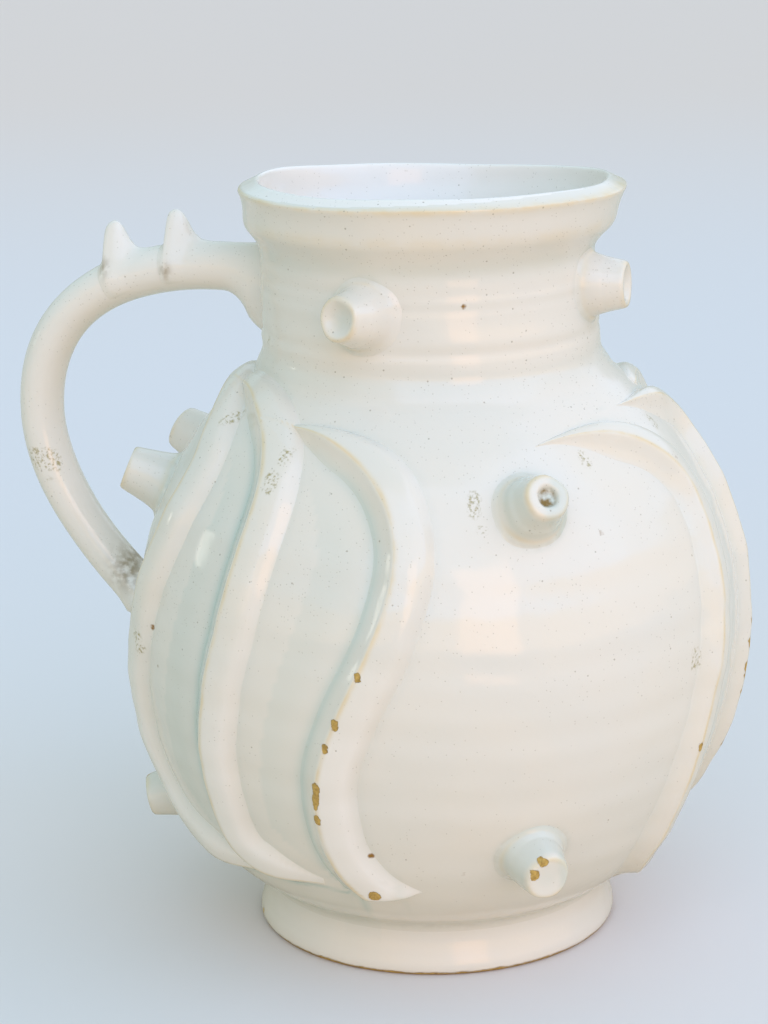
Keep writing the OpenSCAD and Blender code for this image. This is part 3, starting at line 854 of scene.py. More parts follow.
STUDS = (
    Stud("neck_stud_front", "stud_neck_front", -7, 190, -25, 6, 11.0, Tip.DISHED, 0.93, 20),
    Stud("neck_stud_side", "stud_neck_side", 85, 193, 89, 2, 11.0, Tip.DISHED, 0.95, 60),
    Stud("neck_stud_back", "stud_neck_back", 176, 191.4, 176, 4, 11.0, Tip.DISHED, 0.94, 130),
    Stud("front_stud_high", "stud_front_upper", 34.5, 142, 40, 30, 12.5, Tip.POKED, 1.0, 0),
    Stud("front_stud_low", "stud_front_lower", 34.5, 45, 34.5, -10, 12.5, Tip.FLAT, 0.9, 75),
    Stud("handle_stud_front", "stud_handle_front", -76.5, 133, -76.5, 23, 12.5, Tip.DISHED,
         0.97, 40),
    Stud("handle_stud_back", "stud_handle_back", -104, 135, -104, 24, 12.5, Tip.DISHED, 0.96, 95),
    Stud("handle_stud_low", "stud_handle_lower", -75, 38.3, -75, -12, 12.5, Tip.DISHED, 0.93, 10),
    Stud("back_stud_high", "stud_back_upper", 163.5, 142, 163.5, 30, 12.5, Tip.DISHED, 0.97, 50),
    Stud("back_stud_low", "stud_back_lower", 163.5, 45, 163.5, -10, 12.5, Tip.DISHED, 0.92, 115),
)


@dataclass
class StudSet:
    """The ten blunt conical studs, luted on with a smeared skirt of slip."""

    shop: ClayShop
    base_r: float = 8.9
    tip_r: float = 6.7
    axes: list[tuple[Stud, Array, Array]] = field(default_factory=list)

    def section(self) -> bpy.types.Object:
        """A stud's cross-section: a circle with the flats that fingers leave."""
        a = np.linspace(0, 2 * math.pi, 72, endpoint=False)
        r = 1 + 0.022 * np.cos(3 * a + 0.5) + 0.014 * np.cos(5 * a - 1.0)
        return self.shop.section("stud_section",
                                 np.stack([r * np.cos(a), r * np.sin(a), 1 + 0 * a], 1))

    def outline(self, stud: Stud) -> Array:
        """Radius, way along the axis, hug and height over the wall, from skirt to end."""
        length, base = stud.length, self.base_r
        tip = self.tip_r - (0.5 if stud.tip is Tip.POKED else 0.0)
        skirt = [(base + 2.3, 0, 1, 0.0), (base + 1.75, 0, 1, 0.16), (base + 1.3, 0, 1, 0.42),
                 (base + 0.85, 0.2, 1, 0.72), (base + 0.4, 0.6, 0.9, 1.05),
                 (base + 0.05, 1.3, 0.7, 1.6), (base - 0.3, 2.2, 0.42, 2.3),
                 (base - 0.6, 3.2, 0.18, 3.1), (base - 0.9, 4.3, 0.05, 4.1)]
        cone = [(tip + 0.95, length * 0.5, 0, 0), (tip + 0.5, length * 0.7, 0, 0),
                (tip + 0.15, length - 1.6, 0, 0), (tip - 0.05, length - 0.85, 0, 0),
                (tip - 0.35, length - 0.28, 0, 0), (tip - 0.85, length - 0.03, 0, 0)]
        # Radius and depth below the cone's top edge, for each way of finishing it
        ends = {
            Tip.POKED: [(4.6, -0.12), (3.9, -0.14), (3.3, -0.02), (2.9, 0.3), (2.65, 0.9),
                        (2.3, 1.35), (1.2, 1.5), (0, 1.55)],
            Tip.FLAT: [(5.2, 0.02), (4.2, 0.1), (2.8, 0.24), (1.4, 0.3), (0, 0.32)],
            Tip.DISHED: [(5.3, 0.18), (4.6, 0.55), (3.7, 1.15), (2.6, 1.7), (1.3, 2.0),
                         (0, 2.05)]}
        end = [(r, length - down, 0, 0) for r, down in ends[stud.tip]]
        under = [(0, 0, 1, -1.0), (base - 1, 0, 1, -0.9)]
        return np.vstack([under, flowing(skirt + cone + end, 0.55)])

    @staticmethod
    def square_to(way: Array) -> tuple[Array, Array]:
        """Two directions square to a way, the first nearly level."""
        level = np.cross((0, 0, 1), way)
        level /= np.linalg.norm(level)
        return level, np.cross(way, level)

    def stations(self, stud: Stud) -> Stations:
        """Rings of a stud from under its skirt to the middle of its end."""
        wall = self.shop.wall
        s = wall.at_height(stud.z)
        azimuth = np.array([float(stud.azimuth)])
        s = np.array([float(s)])
        base = wall.uneven(wall.place(azimuth, s))[0]
        out = (wall.place(azimuth, s, 1.0) - wall.place(azimuth, s))[0]
        aim, rise = math.radians(stud.aim), math.radians(stud.rise)
        axis = np.array([math.cos(rise) * math.sin(aim), -math.cos(rise) * math.cos(aim),
                         math.sin(rise)])
        twist = math.radians(stud.twist)
        level_w, up_w = self.square_to(out)
        level_a, up_a = self.square_to(axis)
        table = self.outline(stud)
        radius, along, hug, height = table.T
        free = ease(along, 0.2, 5)[:, None]
        level = level_w * (1 - free) + level_a * free
        up = up_w * (1 - free) + up_a * free
        narrow = 1 - (1 - stud.squash) * ease(along, 2, stud.length)
        across = (level * math.cos(twist) + up * math.sin(twist)) * radius[:, None]
        rise_way = (up * math.cos(twist) - level * math.sin(twist)) * (radius * narrow)[:, None]
        centre = base + axis * along[:, None]
        self.axes.append((stud, base, axis))
        return Stations(centre, across, rise_way, height, hug)

    def build(self, glaze: bpy.types.Material) -> list[bpy.types.Object]:
        """Lays all the studs."""
        section = self.section()
        pieces = []
        for stud in STUDS:
            obj = self.shop.lay(stud.name, self.stations(stud), section, glaze)
            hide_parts(stud.node)
            pieces.append(obj)
        return pieces


@dataclass(frozen=True)
class Thorn:
    """One thorn: its name, the solid it stands for, its place and its height."""

    name: str
    node: str
    at: float
    height: float


THORNS = (Thorn("thorn_far", "thorn_outer", 92.6, 10.2),
          Thorn("thorn_near", "thorn_inner", 74.6, 9.2))


@dataclass
class Handle:
    """The pulled strap handle with its two pinched thorns."""

    shop: ClayShop
    reach: float = 121.4
    top_z: float = 192.4
    side_z: float = 149.0
    low_z: float = 86.6
    thick: float = 12.8
    width: float = 15.4
    turn: float = 0.56
    # How a thorn rises along the strap: place from its foot's middle, positive
    # away from the neck, and share of its height
    thorn_rise: tuple = ((-10.5, 0.0), (-8.0, 0.03), (-6.0, 0.11), (-4.6, 0.27), (-3.4, 0.5),
                         (-2.4, 0.74), (-1.3, 0.93), (-0.2, 1.0), (0.9, 0.985), (1.9, 0.92),
                         (2.5, 0.8), (2.8, 0.6), (3.0, 0.36), (3.3, 0.13), (3.9, 0.03),
                         (5.4, 0.0))

    def centre(self, t: Array) -> Array:
        """Centreline as radius and height, at the shares t."""
        w = self.shop.wall
        t = np.asarray(t, float)
        out = np.zeros(t.shape + (2,))
        first = t < self.turn
        out[first] = bezier((w.neck_r * 0.92, self.top_z),
                            (w.neck_r + 0.34 * (self.reach - w.neck_r),
                             self.top_z + self.thick / 2),
                            (self.reach, self.top_z), (self.reach, self.side_z),
                            t[first] / self.turn)
        drop = self.side_z - self.low_z
        out[~first] = bezier((self.reach, self.side_z), (self.reach, self.side_z - 0.245 * drop),
                             (self.reach * 0.93, self.low_z + 0.41 * drop),
                             (w.globe_r * 0.955, self.low_z),
                             (t[~first] - self.turn) / (1 - self.turn))
        return out

    def ways(self, t: Array) -> tuple[Array, Array]:
        """Places on the centreline, and the way out of the strap's back, in space."""
        a = self.centre(t)
        d = self.centre(np.minimum(1, t + 0.01)) - self.centre(np.maximum(0, t - 0.01))
        d /= np.linalg.norm(d, axis=1, keepdims=True)
        zero = np.zeros(len(t))
        return (np.stack([-a[:, 0], zero, a[:, 1]], 1),
                np.stack([d[:, 1], zero, d[:, 0]], 1))

    def half_thick(self, t: Array) -> Array:
        """Half the strap's thickness: it was pulled thinner downwards."""
        return self.thick / 2 * (1 + 0.13 * np.clip(1 - np.asarray(t) / self.turn, 0, 1))

    @staticmethod
    def strap(angles: Array) -> Array:
        """Places on the strap's unit cross-section, which has a soft crest on each side."""
        c, s = np.cos(angles), np.sin(angles)
        return np.stack([np.sign(c) * np.abs(c) ** 1.12, np.sign(s) * np.abs(s) ** 0.95,
                         np.ones_like(c)], -1)

    def build_strap(self, glaze: bpy.types.Material) -> bpy.types.Object:
        """Pulls the strap from the neck round to the globe, and smears its ends on."""
        t = np.linspace(0, 1, 900)
        line = self.centre(t)
        wall = self.shop.wall
        r_wall = np.interp(line[:, 1], wall.skin[:, 1], wall.skin[:, 0])
        free = np.nonzero(line[:, 0] > r_wall + 0.2)[0]
        length = np.concatenate([[0], np.cumsum(np.linalg.norm(np.diff(line, axis=0), axis=1))])
        s0, s1 = length[free[0]], length[free[-1]]
        s = np.concatenate([s0 + np.linspace(0, 1, 26) ** 1.4 * 18,
                            np.linspace(s0 + 18, s1 - 12, 140)[1:-1],
                            s1 - np.linspace(1, 0, 14) ** 1.4 * 12])
        t = np.interp(s, length, t)
        centre, out = self.ways(t)
        near, far = s - s0, s1 - s
        half = self.half_thick(t)
        above = half + 1.5 * np.clip(1 - near / 12, 0, 1) ** 2 + 2.6 * np.clip(1 - far / 11, 0, 1) ** 2
        below = half + 13.0 * np.clip(1 - near / 13.5, 0, 1) ** 2.2 \
            + 3.2 * np.clip(1 - far / 11, 0, 1) ** 2
        side = self.width / 2 * (1 + 0.3 * np.clip(1 - near / 12, 0, 1) ** 2
                                 + 0.25 * np.clip(1 - far / 11, 0, 1) ** 2)
        wave = 1 + 0.012 * np.sin(s / 13) + 0.008 * np.sin(s / 6.3 + 1)
        level = np.tile((0.0, 1.0, 0.0), (len(s), 1))
        centre = centre + out * ((above - below) / 2)[:, None]
        across = level * (side * wave)[:, None]
        up = out * ((above + below) / 2 * wave)[:, None]
        hug = np.clip(1 - np.minimum(near, far) / 3.2, 0, 1) ** 1.5
        # Each end is carried on over the wall, then turned under it and closed
        ends = ((1.07, 0.0), (1.035, 0.0))
        shut = ((0.0, -1.2), (0.7, -1.2))
        rows = [(centre[0], across[0] * k, up[0] * k, lift, 1.0) for k, lift in shut + ends]
        rows += list(zip(centre, across, up, np.zeros(len(s)), hug))
        rows += [(centre[-1], across[-1] * k, up[-1] * k, lift, 1.0)
                 for k, lift in ends[::-1] + shut[::-1]]
        stations = Stations(*(np.array([row[k] for row in rows]) for k in range(5)))
        outline = self.strap(np.linspace(0, 2 * math.pi, 64, endpoint=False))
        obj = self.shop.lay("pulled_handle", stations,
                            self.shop.section("strap_section", outline), glaze)
        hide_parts("handle")
        return obj

    def build_thorn(self, thorn: Thorn, glaze: bpy.types.Material) -> bpy.types.Object:
        """Pinches one thorn up from the strap's back.

        It stands upright, steep away from the neck, and runs out on the
        strap's sides as a fold.

        Args:
            thorn: the thorn to make.
            glaze: its material.

        Returns:
            The thorn.
        """
        shares = np.linspace(0, self.turn, 400)
        t0 = float(np.interp(thorn.at, self.centre(shares)[:, 0], shares))
        here = np.array([t0])
        speed = float(np.linalg.norm(self.centre(here + 0.01) - self.centre(here))) / 0.01
        u = np.concatenate([np.linspace(-10.5, 1.8, 46), np.linspace(1.95, 4.2, 24),
                            np.linspace(4.3, 5.4, 6)])
        profile = flowing(list(self.thorn_rise), 0.05)
        rise = np.interp(u, profile[:, 0], profile[:, 1])
        fold = ease(u, -6, 2.4) ** 2 * (1 - ease(u, 2.4, 5.4))
        angles = np.radians(np.linspace(-40, 220, 105))
        centre, out = self.ways(t0 + u / speed)
        unit = self.strap(angles)
        half = self.half_thick(t0 + u / speed)
        level = np.array((0.0, 1.0, 0.0))
        skin = (centre[:, None] + level * (unit[None, :, :1] * self.width / 2)
                + out[:, None] * (unit[None, :, 1:2] * half[:, None, None]))
        normal = (level * np.cos(angles)[None, :, None]
                  + out[:, None] * np.sin(angles)[None, :, None])
        crest = np.exp(-(np.abs(unit[:, 0]) * self.width / 2 / 3.9) ** 2.2) \
            * (unit[:, 1] > 0)
        wrap = np.clip(np.sin((np.degrees(angles) + 40) * math.pi / 260), 0, 1) ** 0.8
        sunk = 0.2 * (1 - ease(np.minimum(u + 10.5, 5.4 - u), 0, 0.8))[:, None] \
            + 0.2 * (1 - ease(wrap, 0, 0.25))[None]
        top = (skin + normal * (1.1 * fold[:, None] * wrap[None] - sunk)[..., None]
               + np.array((0.0, 0.0, 1.0)) * (thorn.height * rise[:, None] * crest[None])[..., None])
        obj = self.shop.slab(thorn.name, skin - normal * 1.2, top)
        obj.data.materials.append(glaze)
        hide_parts(thorn.node)
        return obj

    def build(self, glaze: bpy.types.Material) -> list[bpy.types.Object]:
        """Builds the strap and both thorns."""
        return [self.build_strap(glaze)] + [self.build_thorn(thorn, glaze) for thorn in THORNS]


@dataclass
class Vessel:
    """The thrown pieces: foot ring, globe and neck."""

    shop: ClayShop
    segments: int = 360
    foot_bore_r: float = 45.5
    foot_recess: float = 8.0

    def foot_outline(self) -> Array:
        """The foot ring's outline."""
        w = self.shop.wall
        bore, r, waist, h = self.foot_bore_r, 53.5, w.foot_waist_r, w.foot_h
        outer = flowing([(r - 1.6, 0.0), (r - 0.9, 0.12), (r - 0.2, 0.65), (r, 1.5),
                         (r - 0.2, 3.2), (r - 1.1, 6.0), (waist + 0.35, 9.5),
                         (waist, 12.5), (waist, h)], 0.7)
        inner = flowing([(bore, h), (bore, 9.0), (bore, 4.0), (bore + 0.15, 1.6),
                         (bore + 0.6, 0.5), (bore + 1.5, 0.0)], 0.9)
        return np.vstack([inner, [[49.0, 0.0]], outer])

    def build(self, glaze: bpy.types.Material, bare: bpy.types.Material) -> list[bpy.types.Object]:
        """Turns the three pieces.

        Args:
            glaze: the glazed finish.
            bare: the foot's finish, wiped clean of glaze where it stands.

        Returns:
            Foot ring, globe and neck.
        """
        w = self.shop.wall
        recess = self.foot_recess
        under = np.array([(0.0, recess), (15, recess), (30, recess), (42, recess),
                          (self.foot_bore_r - 0.3, recess),
                          (self.foot_bore_r - 0.3, w.foot_h - 4.4)])
        foot = self.shop.turn("foot", self.foot_outline(), self.segments)
        globe = self.shop.turn("belly", np.vstack([under, w.globe_line(), w.globe_bore()]),
                               self.segments)
        neck = self.shop.turn("collar_and_rim",
                              np.vstack([w.neck_line()[:-1], w.lip_line()[:-1], w.neck_bore()]),
                              self.segments)
        for obj, node, material in ((foot, "foot_ring", bare), (globe, "globe", glaze),
                                    (neck, "neck", glaze)):
            obj.data.materials.append(material)
            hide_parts(node)
        return [foot, globe, neck]


# ---------------------------------------------------------------- wear, glaze depth, and painted light and shade
class Mark(Enum):
    """What a mark on the glaze is; the value names the attribute that holds it."""

    CHIP = "chip"
    STAIN = "stain"
    RUST = "rust"


@dataclass(frozen=True)
class Spot:
    """One mark on the outside: its kind, radius, place, and how far it runs down.

    The place is an azimuth in degrees and a height in millimetres.
    """

    kind: Mark
    radius: float
    azimuth: float
    z: float
    run: float = 0.0


@dataclass
class Dresser:
    """Writes what the glaze material reads from each vertex: glaze depth, painted light and shade, and
    marks.
    """

    shop: ClayShop
    ribs: RibSet
    studs: StudSet
    reach: float = 5.0
    seed: int = 5
    neck_patches: int = 6
    globe_patches: int = 7
    iron_specks: int = 16
    foot_chips: int = 5
    # Where flakes lie on a crest: middle as a share of the globe's height, then spread
    flake_band: tuple = (0.85, 15.0)
    # From this many flakes on, a rib's toe is chipped too
    worn_toe: int = 5
    stud_dirt_r: float = 13.5

    def rib_marks(self, draw: np.random.Generator) -> list[Spot]:
        """Flakes off the ribs' crests and toes, and dirt behind their tails."""
        out = []
        for rib in RIBS:
            line = self.ribs.lines[rib.name]
            azimuth = np.degrees(np.unwrap(np.arctan2(line[:, 0], -line[:, 1])))
            # Crests are knocked where they stand out furthest, as the rib turns back
            middle, spread = self.flake_band
            for z in draw.normal(middle * self.shop.wall.globe_z, spread, rib.worn):
                size = draw.uniform(0.7, 1.2)
                out.append(Spot(Mark.CHIP, size, float(np.interp(-z, -line[:, 2], azimuth)),
                                float(z), 1.2 * size))
            if rib.worn >= self.worn_toe:
                toe = len(line) - 4
                out.append(Spot(Mark.CHIP, 1.9, azimuth[toe] + 1, line[toe, 2] + 1))
            tail = len(line) // 9
            out.append(Spot(Mark.STAIN, 1.7, azimuth[tail] - 3, line[tail, 2] - 4, 2))
        return out

    def stud_marks(self) -> list[Spot]:
        """Dirt beside the studs that point up, chips on the ends that point down."""
        out = []
        for stud, base, _ in self.studs.axes:
            around = math.degrees(self.stud_dirt_r / math.hypot(base[0], base[1]))
            if stud.rise > 15:
                out.append(Spot(Mark.STAIN, 2.0, stud.azimuth - around, stud.z + 4, 4))
                out.append(Spot(Mark.STAIN, 1.5, stud.azimuth - 0.9 * around, stud.z - 4))
            if stud.rise < 0:
                out.append(Spot(Mark.CHIP, 1.5, stud.azimuth - 1, stud.z + 3))
                out.append(Spot(Mark.CHIP, 1.4, stud.azimuth - 2.5, stud.z, 1))
        return out

    def strewn_marks(self, draw: np.random.Generator) -> list[Spot]:
        """Crazed patches, iron specks and foot chips, strewn at random."""
        wall = self.shop.wall
        out = []
        for count, kind, sizes, low, high, run in (
                (self.neck_patches, Mark.STAIN, (1.3, 2.2), wall.seam_z, wall.cove_z, 0),
                (self.globe_patches, Mark.STAIN, (1.2, 2.6), 60, 150, 3),
                (self.iron_specks, Mark.RUST, (0.7, 1.0), 40, wall.height - 4, 0),
                (self.foot_chips, Mark.CHIP, (0.8, 1.3), 0, 11, 0)):
            for _ in range(count):
                out.append(Spot(kind, draw.uniform(*sizes), draw.uniform(0, 360),
                                draw.uniform(low, high), run))
        return out

    def marks(self, points: Array, studs: bool) -> dict[str, Array]:
        """How deep inside a mark of each kind each point is.

        Args:
            points: places in millimetres.
            studs: whether they are on a stud, which only has chips.

        Returns:
            For each kind a number from 0 to 1, which is 0.5 at a mark's edge.
        """
        wall = self.shop.wall
        x, y, z = points.T
        r = np.hypot(x, y)
        azimuth = np.arctan2(x, -y)
        s = wall.at_height(z) + np.minimum(z - wall.foot_h, 0)
        outside = r > np.interp(z, wall.skin[:, 1], wall.skin[:, 0]) - 3
        out = {kind.value: np.zeros(len(points)) for kind in Mark}
        draw = np.random.default_rng(self.seed)
        for spot in self.rib_marks(draw) + self.stud_marks() + self.strewn_marks(draw):
            turn = azimuth - math.radians(spot.azimuth)
            aside = r * np.abs((turn + math.pi) % (2 * math.pi) - math.pi)
            if studs and spot.kind is not Mark.CHIP:
                continue
            top = float(wall.at_height(spot.z)) + min(spot.z - wall.foot_h, 0)
            down = s - np.clip(s, top - spot.run, top)
            level = np.clip(0.5 + (spot.radius - np.hypot(aside, down)) / (2 * self.reach), 0, 1)
            out[spot.kind.value] = np.maximum(out[spot.kind.value], level * outside)
        return out

    def depth(self, obj: bpy.types.Object, points: Array) -> dict[str, Array]:
        """How thick the glaze lies, where dirt has settled, and where light and shade are painted.

        Args:
            obj: the piece.
            points: its vertices in millimetres.

        Returns:
            Thick glaze and painted shade in hollows and on the front studs' sides,
            thin glaze on edges with painted warm light on the steep flanks of some
            ribs, dirt, and painted light, a brighter white inside the pot, on the
            left ribs' tops and on the handle: each from 0 to 1.
        """
        across, near, pooled_and_shaded = self.ribs.near(points)
        # Thick glaze at the feet of the ribs' steep sides and on the panels beside them, partly
        # painted shade and reflection
        fade = 1 - ease(near, 9, 17)
        pool = fade * (0.75 * pooled_and_shaded * bell(across, -0.85, 0.3) + 0.12 * bell(across, 1.03, 0.13))
        pool += (1 - ease(near, 16, 40)) * 0.28 * pooled_and_shaded * (across < -0.8) * (1 - fade * 0.5)
        thin = np.zeros(len(points))
        if "_rib_" in obj.name:
            # A narrow warm line on the crest, and a broad top only a little thin
            thin += 0.9 * bell(across, 0.01, 0.07) + 0.06 * ease(across, 0, 0.1) \
                * (1 - ease(across, 0.6, 0.95))
            # Painted warm light: a warm tone on the steep flanks of the ribs with little thick glaze
            thin += 0.15 * (1 - pooled_and_shaded) * ease(across, -0.95, -0.8) * (across < 0.03)
        x, y, z = points.T
        r = np.hypot(x, y)
        dirt = np.zeros(len(points))
        lining = np.zeros(len(points))
        # Painted light: the left ribs' broad tops are painted brighter below the shoulder
        if "left_rib" in obj.name:
            lining += 0.8 * ease(across, 0, 0.15) * (1 - ease(across, 0.6, 0.95)) \
                * (1 - ease(z, 60, 112))
        for stud, base, axis in self.studs.axes:
            rel = points - base
            along = rel @ axis
            q = np.linalg.norm(rel - along[:, None] * axis, axis=1)
            # Thick glaze and painted shade in the hollow where each stud meets the wall
            pool += 0.25 * bell(q, 10.2, 1.4) * bell(along, 0.6, 2.4)
            thin += 0.5 * bell(q, 9.3, 0.5) * bell(along, 1.0, 1.6)
            if "stud" in obj.name:
                thin += 0.8 * bell(q, 5.9, 0.7) * bell(along, stud.length - 0.4, 1.3)
                # Thick glaze and painted shade in the middle of the stud's end
                pool += 0.4 * bell(q, 0, 3.0) * bell(along, stud.length - 1.6, 1.4)
                # Painted shade and reflection down the sides of the front studs
                if "front_stud" in obj.name:
                    pool += 0.35 * ease(along, 0.5, 3) * (1 - ease(along, stud.length - 3,
                                                                   stud.length - 0.6))
                if stud.tip is Tip.POKED:
                    dirt += (1 - ease(q, 2.2, 2.9)) * ease(along, stud.length - 3, stud.length - 2)
            dirt += 0.08 * bell(q, 10.4, 0.8) * bell(along, 0.2, 1.6)
        skin = self.shop.wall.skin
        inside = r < np.interp(z, skin[:, 1], skin[:, 0]) - 2.6
        if obj.name == "collar_and_rim":
            thin += ~inside * (0.9 * bell(z, 219.9, 1.0) * (r > 53) + 0.3 * bell(z, 211.0, 1.8))
            # Thick glaze and painted shade in the cove and the collar's flare; painted light on the
            # inside
            pool += ~inside * (0.2 * bell(z, 202.5, 3.2) + 0.15 * bell(z, 171.5, 4.0))
            lining += inside
        if obj.name == "belly":
            # Painted light inside the belly
            lining += inside * (z > 14)
        if obj.name in ("belly", "foot"):
            # Thick glaze and painted shade in the crease where the globe meets the foot
            pool += 0.25 * bell(z, 15.2, 2.4) * (r > 49)
            dirt += 0.08 * bell(z, 15.0, 1.3) * (r > 49) * (r < 54)
        if obj.name in ("pulled_handle", "thorn_far", "thorn_near"):
            # Painted light: the handle and thorns are painted a little brighter
            lining += 0.3
            # A brown film lies in the crook over the globe, and at the feet of the thorns
            dirt += 0.75 * bell(z, 102, 6) * bell(r, 94, 4.5)
            dirt += 0.6 * bell(z, 194, 2.5) * (bell(r, 97, 1.6) + bell(r, 77.5, 1.6))
        return {"pool": pool, "thin": thin, "dirt": dirt, "lining": lining}

    def dress(self, obj: bpy.types.Object) -> None:
        """Writes the attributes of one piece."""
        co = np.zeros(len(obj.data.vertices) * 3)
        obj.data.vertices.foreach_get("co", co)
        points = co.reshape(-1, 3) / MM
        for name, values in self.depth(obj, points).items():
            self.shop.store(obj, name, np.clip(values, 0, 1))
        for name, values in self.marks(points, "stud" in obj.name).items():
            self.shop.store(obj, name, values)


# ---------------------------------------------------------------- finishes
@dataclass(frozen=True)
class Faience:
    """Tin-glazed earthenware: opaque milk-white glass, dipped, over buff clay.

    The eye sees a wet, slightly rippled gloss, a cooler tone where the glaze
    has run thick, which also stands as painted shade and reflection in hollows
    and on shaded sides, a warmer one where it is thin, which also stands as
    painted warm light on some rib flanks, a brighter white painted as light,
    pinholes, and dull ochre clay where it has chipped.
    """

    name: str
    milk: str = "#E8E1D5"
    milk_cool: str = "#E5E0D6"
    # Painted light: a brighter white inside the pot, on the left ribs' tops and on the handle
    lining: str = "#F3EDE6"
    # Thick glaze, and also painted shade and reflection in hollows and on shaded sides
    thick: str = "#BCCBC2"
    # Thin glaze, and also painted warm light on the steep flanks of some ribs
    thin: str = "#E6D1A9"
    clay: str = "#CCA95C"
    clay_dark: str = "#A18040"
    pinhole: str = "#8A7A60"
    stain: str = "#9A8A48"
    dirt: str = "#846C38"
    rust: str = "#8E6626"
    gloss: float = 0.1
    stands: bool = False
    # Noise used in the finish: size in millimetres, then how many finer octaves
    grains: tuple = ((38.0, 2.0), (30.0, 2.0), (16.0, 1.0), (9.0, 3.0), (5.5, 2.0),
                     (4.0, 3.0), (2.4, 2.0), (1.4, 3.0), (0.9, 3.0))
    # Pinholes: cell size in millimetres, dot radius and share of cells, then strength
    pinholes: tuple = ((3.0, 0.12, 0.3, 0.5), (1.7, 0.14, 0.3, 0.32), (0.95, 0.24, 0.45, 0.3))

    def build(self) -> bpy.types.Material:
        """Makes the material."""
        material = bpy.data.materials.new(self.name)
        material.use_nodes = True
        t = material.node_tree
        t.nodes.clear()
        spot = add(t, "ShaderNodeTexCoord").outputs["Object"]
        height = add(t, "ShaderNodeSeparateXYZ", {0: spot}).outputs["Z"]
        noise = {size: add(t, "ShaderNodeTexNoise", {
            "Vector": spot, "Scale": 1 / (size * MM), "Detail": detail, "Roughness": 0.55})
            for size, detail in self.grains}
        kept = {name: add(t, "ShaderNodeAttribute", attribute_name=name).outputs["Fac"]
                for name in ("pool", "thin", "lining", "dirt", "chip", "stain", "rust")}

        # The glaze's colour: clouds, thin edges, thick glaze and painted shade in hollows, and painted
        # light
        clouds = add(t, "ShaderNodeMapRange", {
            "Value": noise[38.0], "From Min": 0.35, "From Max": 0.68},
            interpolation_type="SMOOTHSTEP")
        colour = add(t, "ShaderNodeMix", {"Factor": clouds, "A": linear(self.milk),
                                          "B": linear(self.milk_cool)}, data_type="RGBA")
        ragged = add(t, "ShaderNodeMapRange", {
            "Value": noise[9.0], "From Min": 0.15, "From Max": 0.7},
            interpolation_type="SMOOTHSTEP")
        ragged = add(t, "ShaderNodeMath", {0: ragged, 1: kept["thin"]}, operation="MULTIPLY")
        for share, tone in ((ragged, self.thin), (kept["pool"], self.thick),
                            (kept["lining"], self.lining)):
            colour = add(t, "ShaderNodeMix", {"Factor": share, "A": colour,
                                              "B": linear(tone)}, data_type="RGBA")

        # Pinholes crowd high on the pot, where the dip was thinnest
        low = add(t, "ShaderNodeMapRange", {
            "Value": height, "From Min": 0.02, "From Max": 0.15})
        patchy = add(t, "ShaderNodeMapRange", {
            "Value": noise[30.0], "From Min": 0.3, "From Max": 0.65})
        crowd = add(t, "ShaderNodeMath", {0: low, 1: patchy}, operation="MULTIPLY")
        dots: object = 0.0
        for cell, radius, share, strength in self.pinholes:
            cells = add(t, "ShaderNodeTexVoronoi", {
                "Vector": spot, "Scale": 1 / (cell * MM), "Randomness": 1.0})
            dot = add(t, "ShaderNodeMapRange", {
                "Value": cells.outputs["Distance"], "From Min": radius,
                "From Max": radius * 0.45, "To Max": strength}, interpolation_type="SMOOTHSTEP")
            pick = add(t, "ShaderNodeSeparateColor", {0: cells.outputs["Color"]}).outputs[0]
            limit = add(t, "ShaderNodeMath", {0: crowd, 1: share}, operation="MULTIPLY")
            chosen = add(t, "ShaderNodeMath", {0: pick, 1: limit}, operation="LESS_THAN")
            dot = add(t, "ShaderNodeMath", {0: dot, 1: chosen}, operation="MULTIPLY")
            dots = add(t, "ShaderNodeMath", {0: dots, 1: dot}, operation="MAXIMUM")
        colour = add(t, "ShaderNodeMix", {"Factor": dots, "A": colour,
                                          "B": linear(self.pinhole)}, data_type="RGBA")

        # Stains are clusters of brown grains; rust and dirt are smooth films
        patch = add(t, "ShaderNodeMath", {0: noise[2.4], 1: 0.16, 2: kept["stain"]},
                    operation="MULTIPLY_ADD")
        patch = add(t, "ShaderNodeMapRange", {
            "Value": patch, "From Min": 0.53, "From Max": 0.66},
            interpolation_type="SMOOTHSTEP")
        grain = add(t, "ShaderNodeMapRange", {
            "Value": noise[0.9], "From Min": 0.44, "From Max": 0.72, "To Max": 0.9},
            interpolation_type="SMOOTHSTEP")
        grains = add(t, "ShaderNodeMath", {0: patch, 1: grain}, operation="MULTIPLY")
        rusty = add(t, "ShaderNodeMath", {0: noise[1.4], 1: 0.1, 2: kept["rust"]},
                    operation="MULTIPLY_ADD")
        rusty = add(t, "ShaderNodeMapRange", {
            "Value": rusty, "From Min": 0.53, "From Max": 0.6},
            interpolation_type="SMOOTHSTEP")
        film = add(t, "ShaderNodeMapRange", {
            "Value": noise[2.4], "From Min": 0.3, "From Max": 0.65},
            interpolation_type="SMOOTHSTEP")
        film = add(t, "ShaderNodeMath", {0: film, 1: kept["dirt"]}, operation="MULTIPLY")
        for share, tone in ((grains, self.stain), (rusty, self.rust), (film, self.dirt)):
            colour = add(t, "ShaderNodeMix", {"Factor": share, "A": colour,
                                              "B": linear(tone)}, data_type="RGBA")

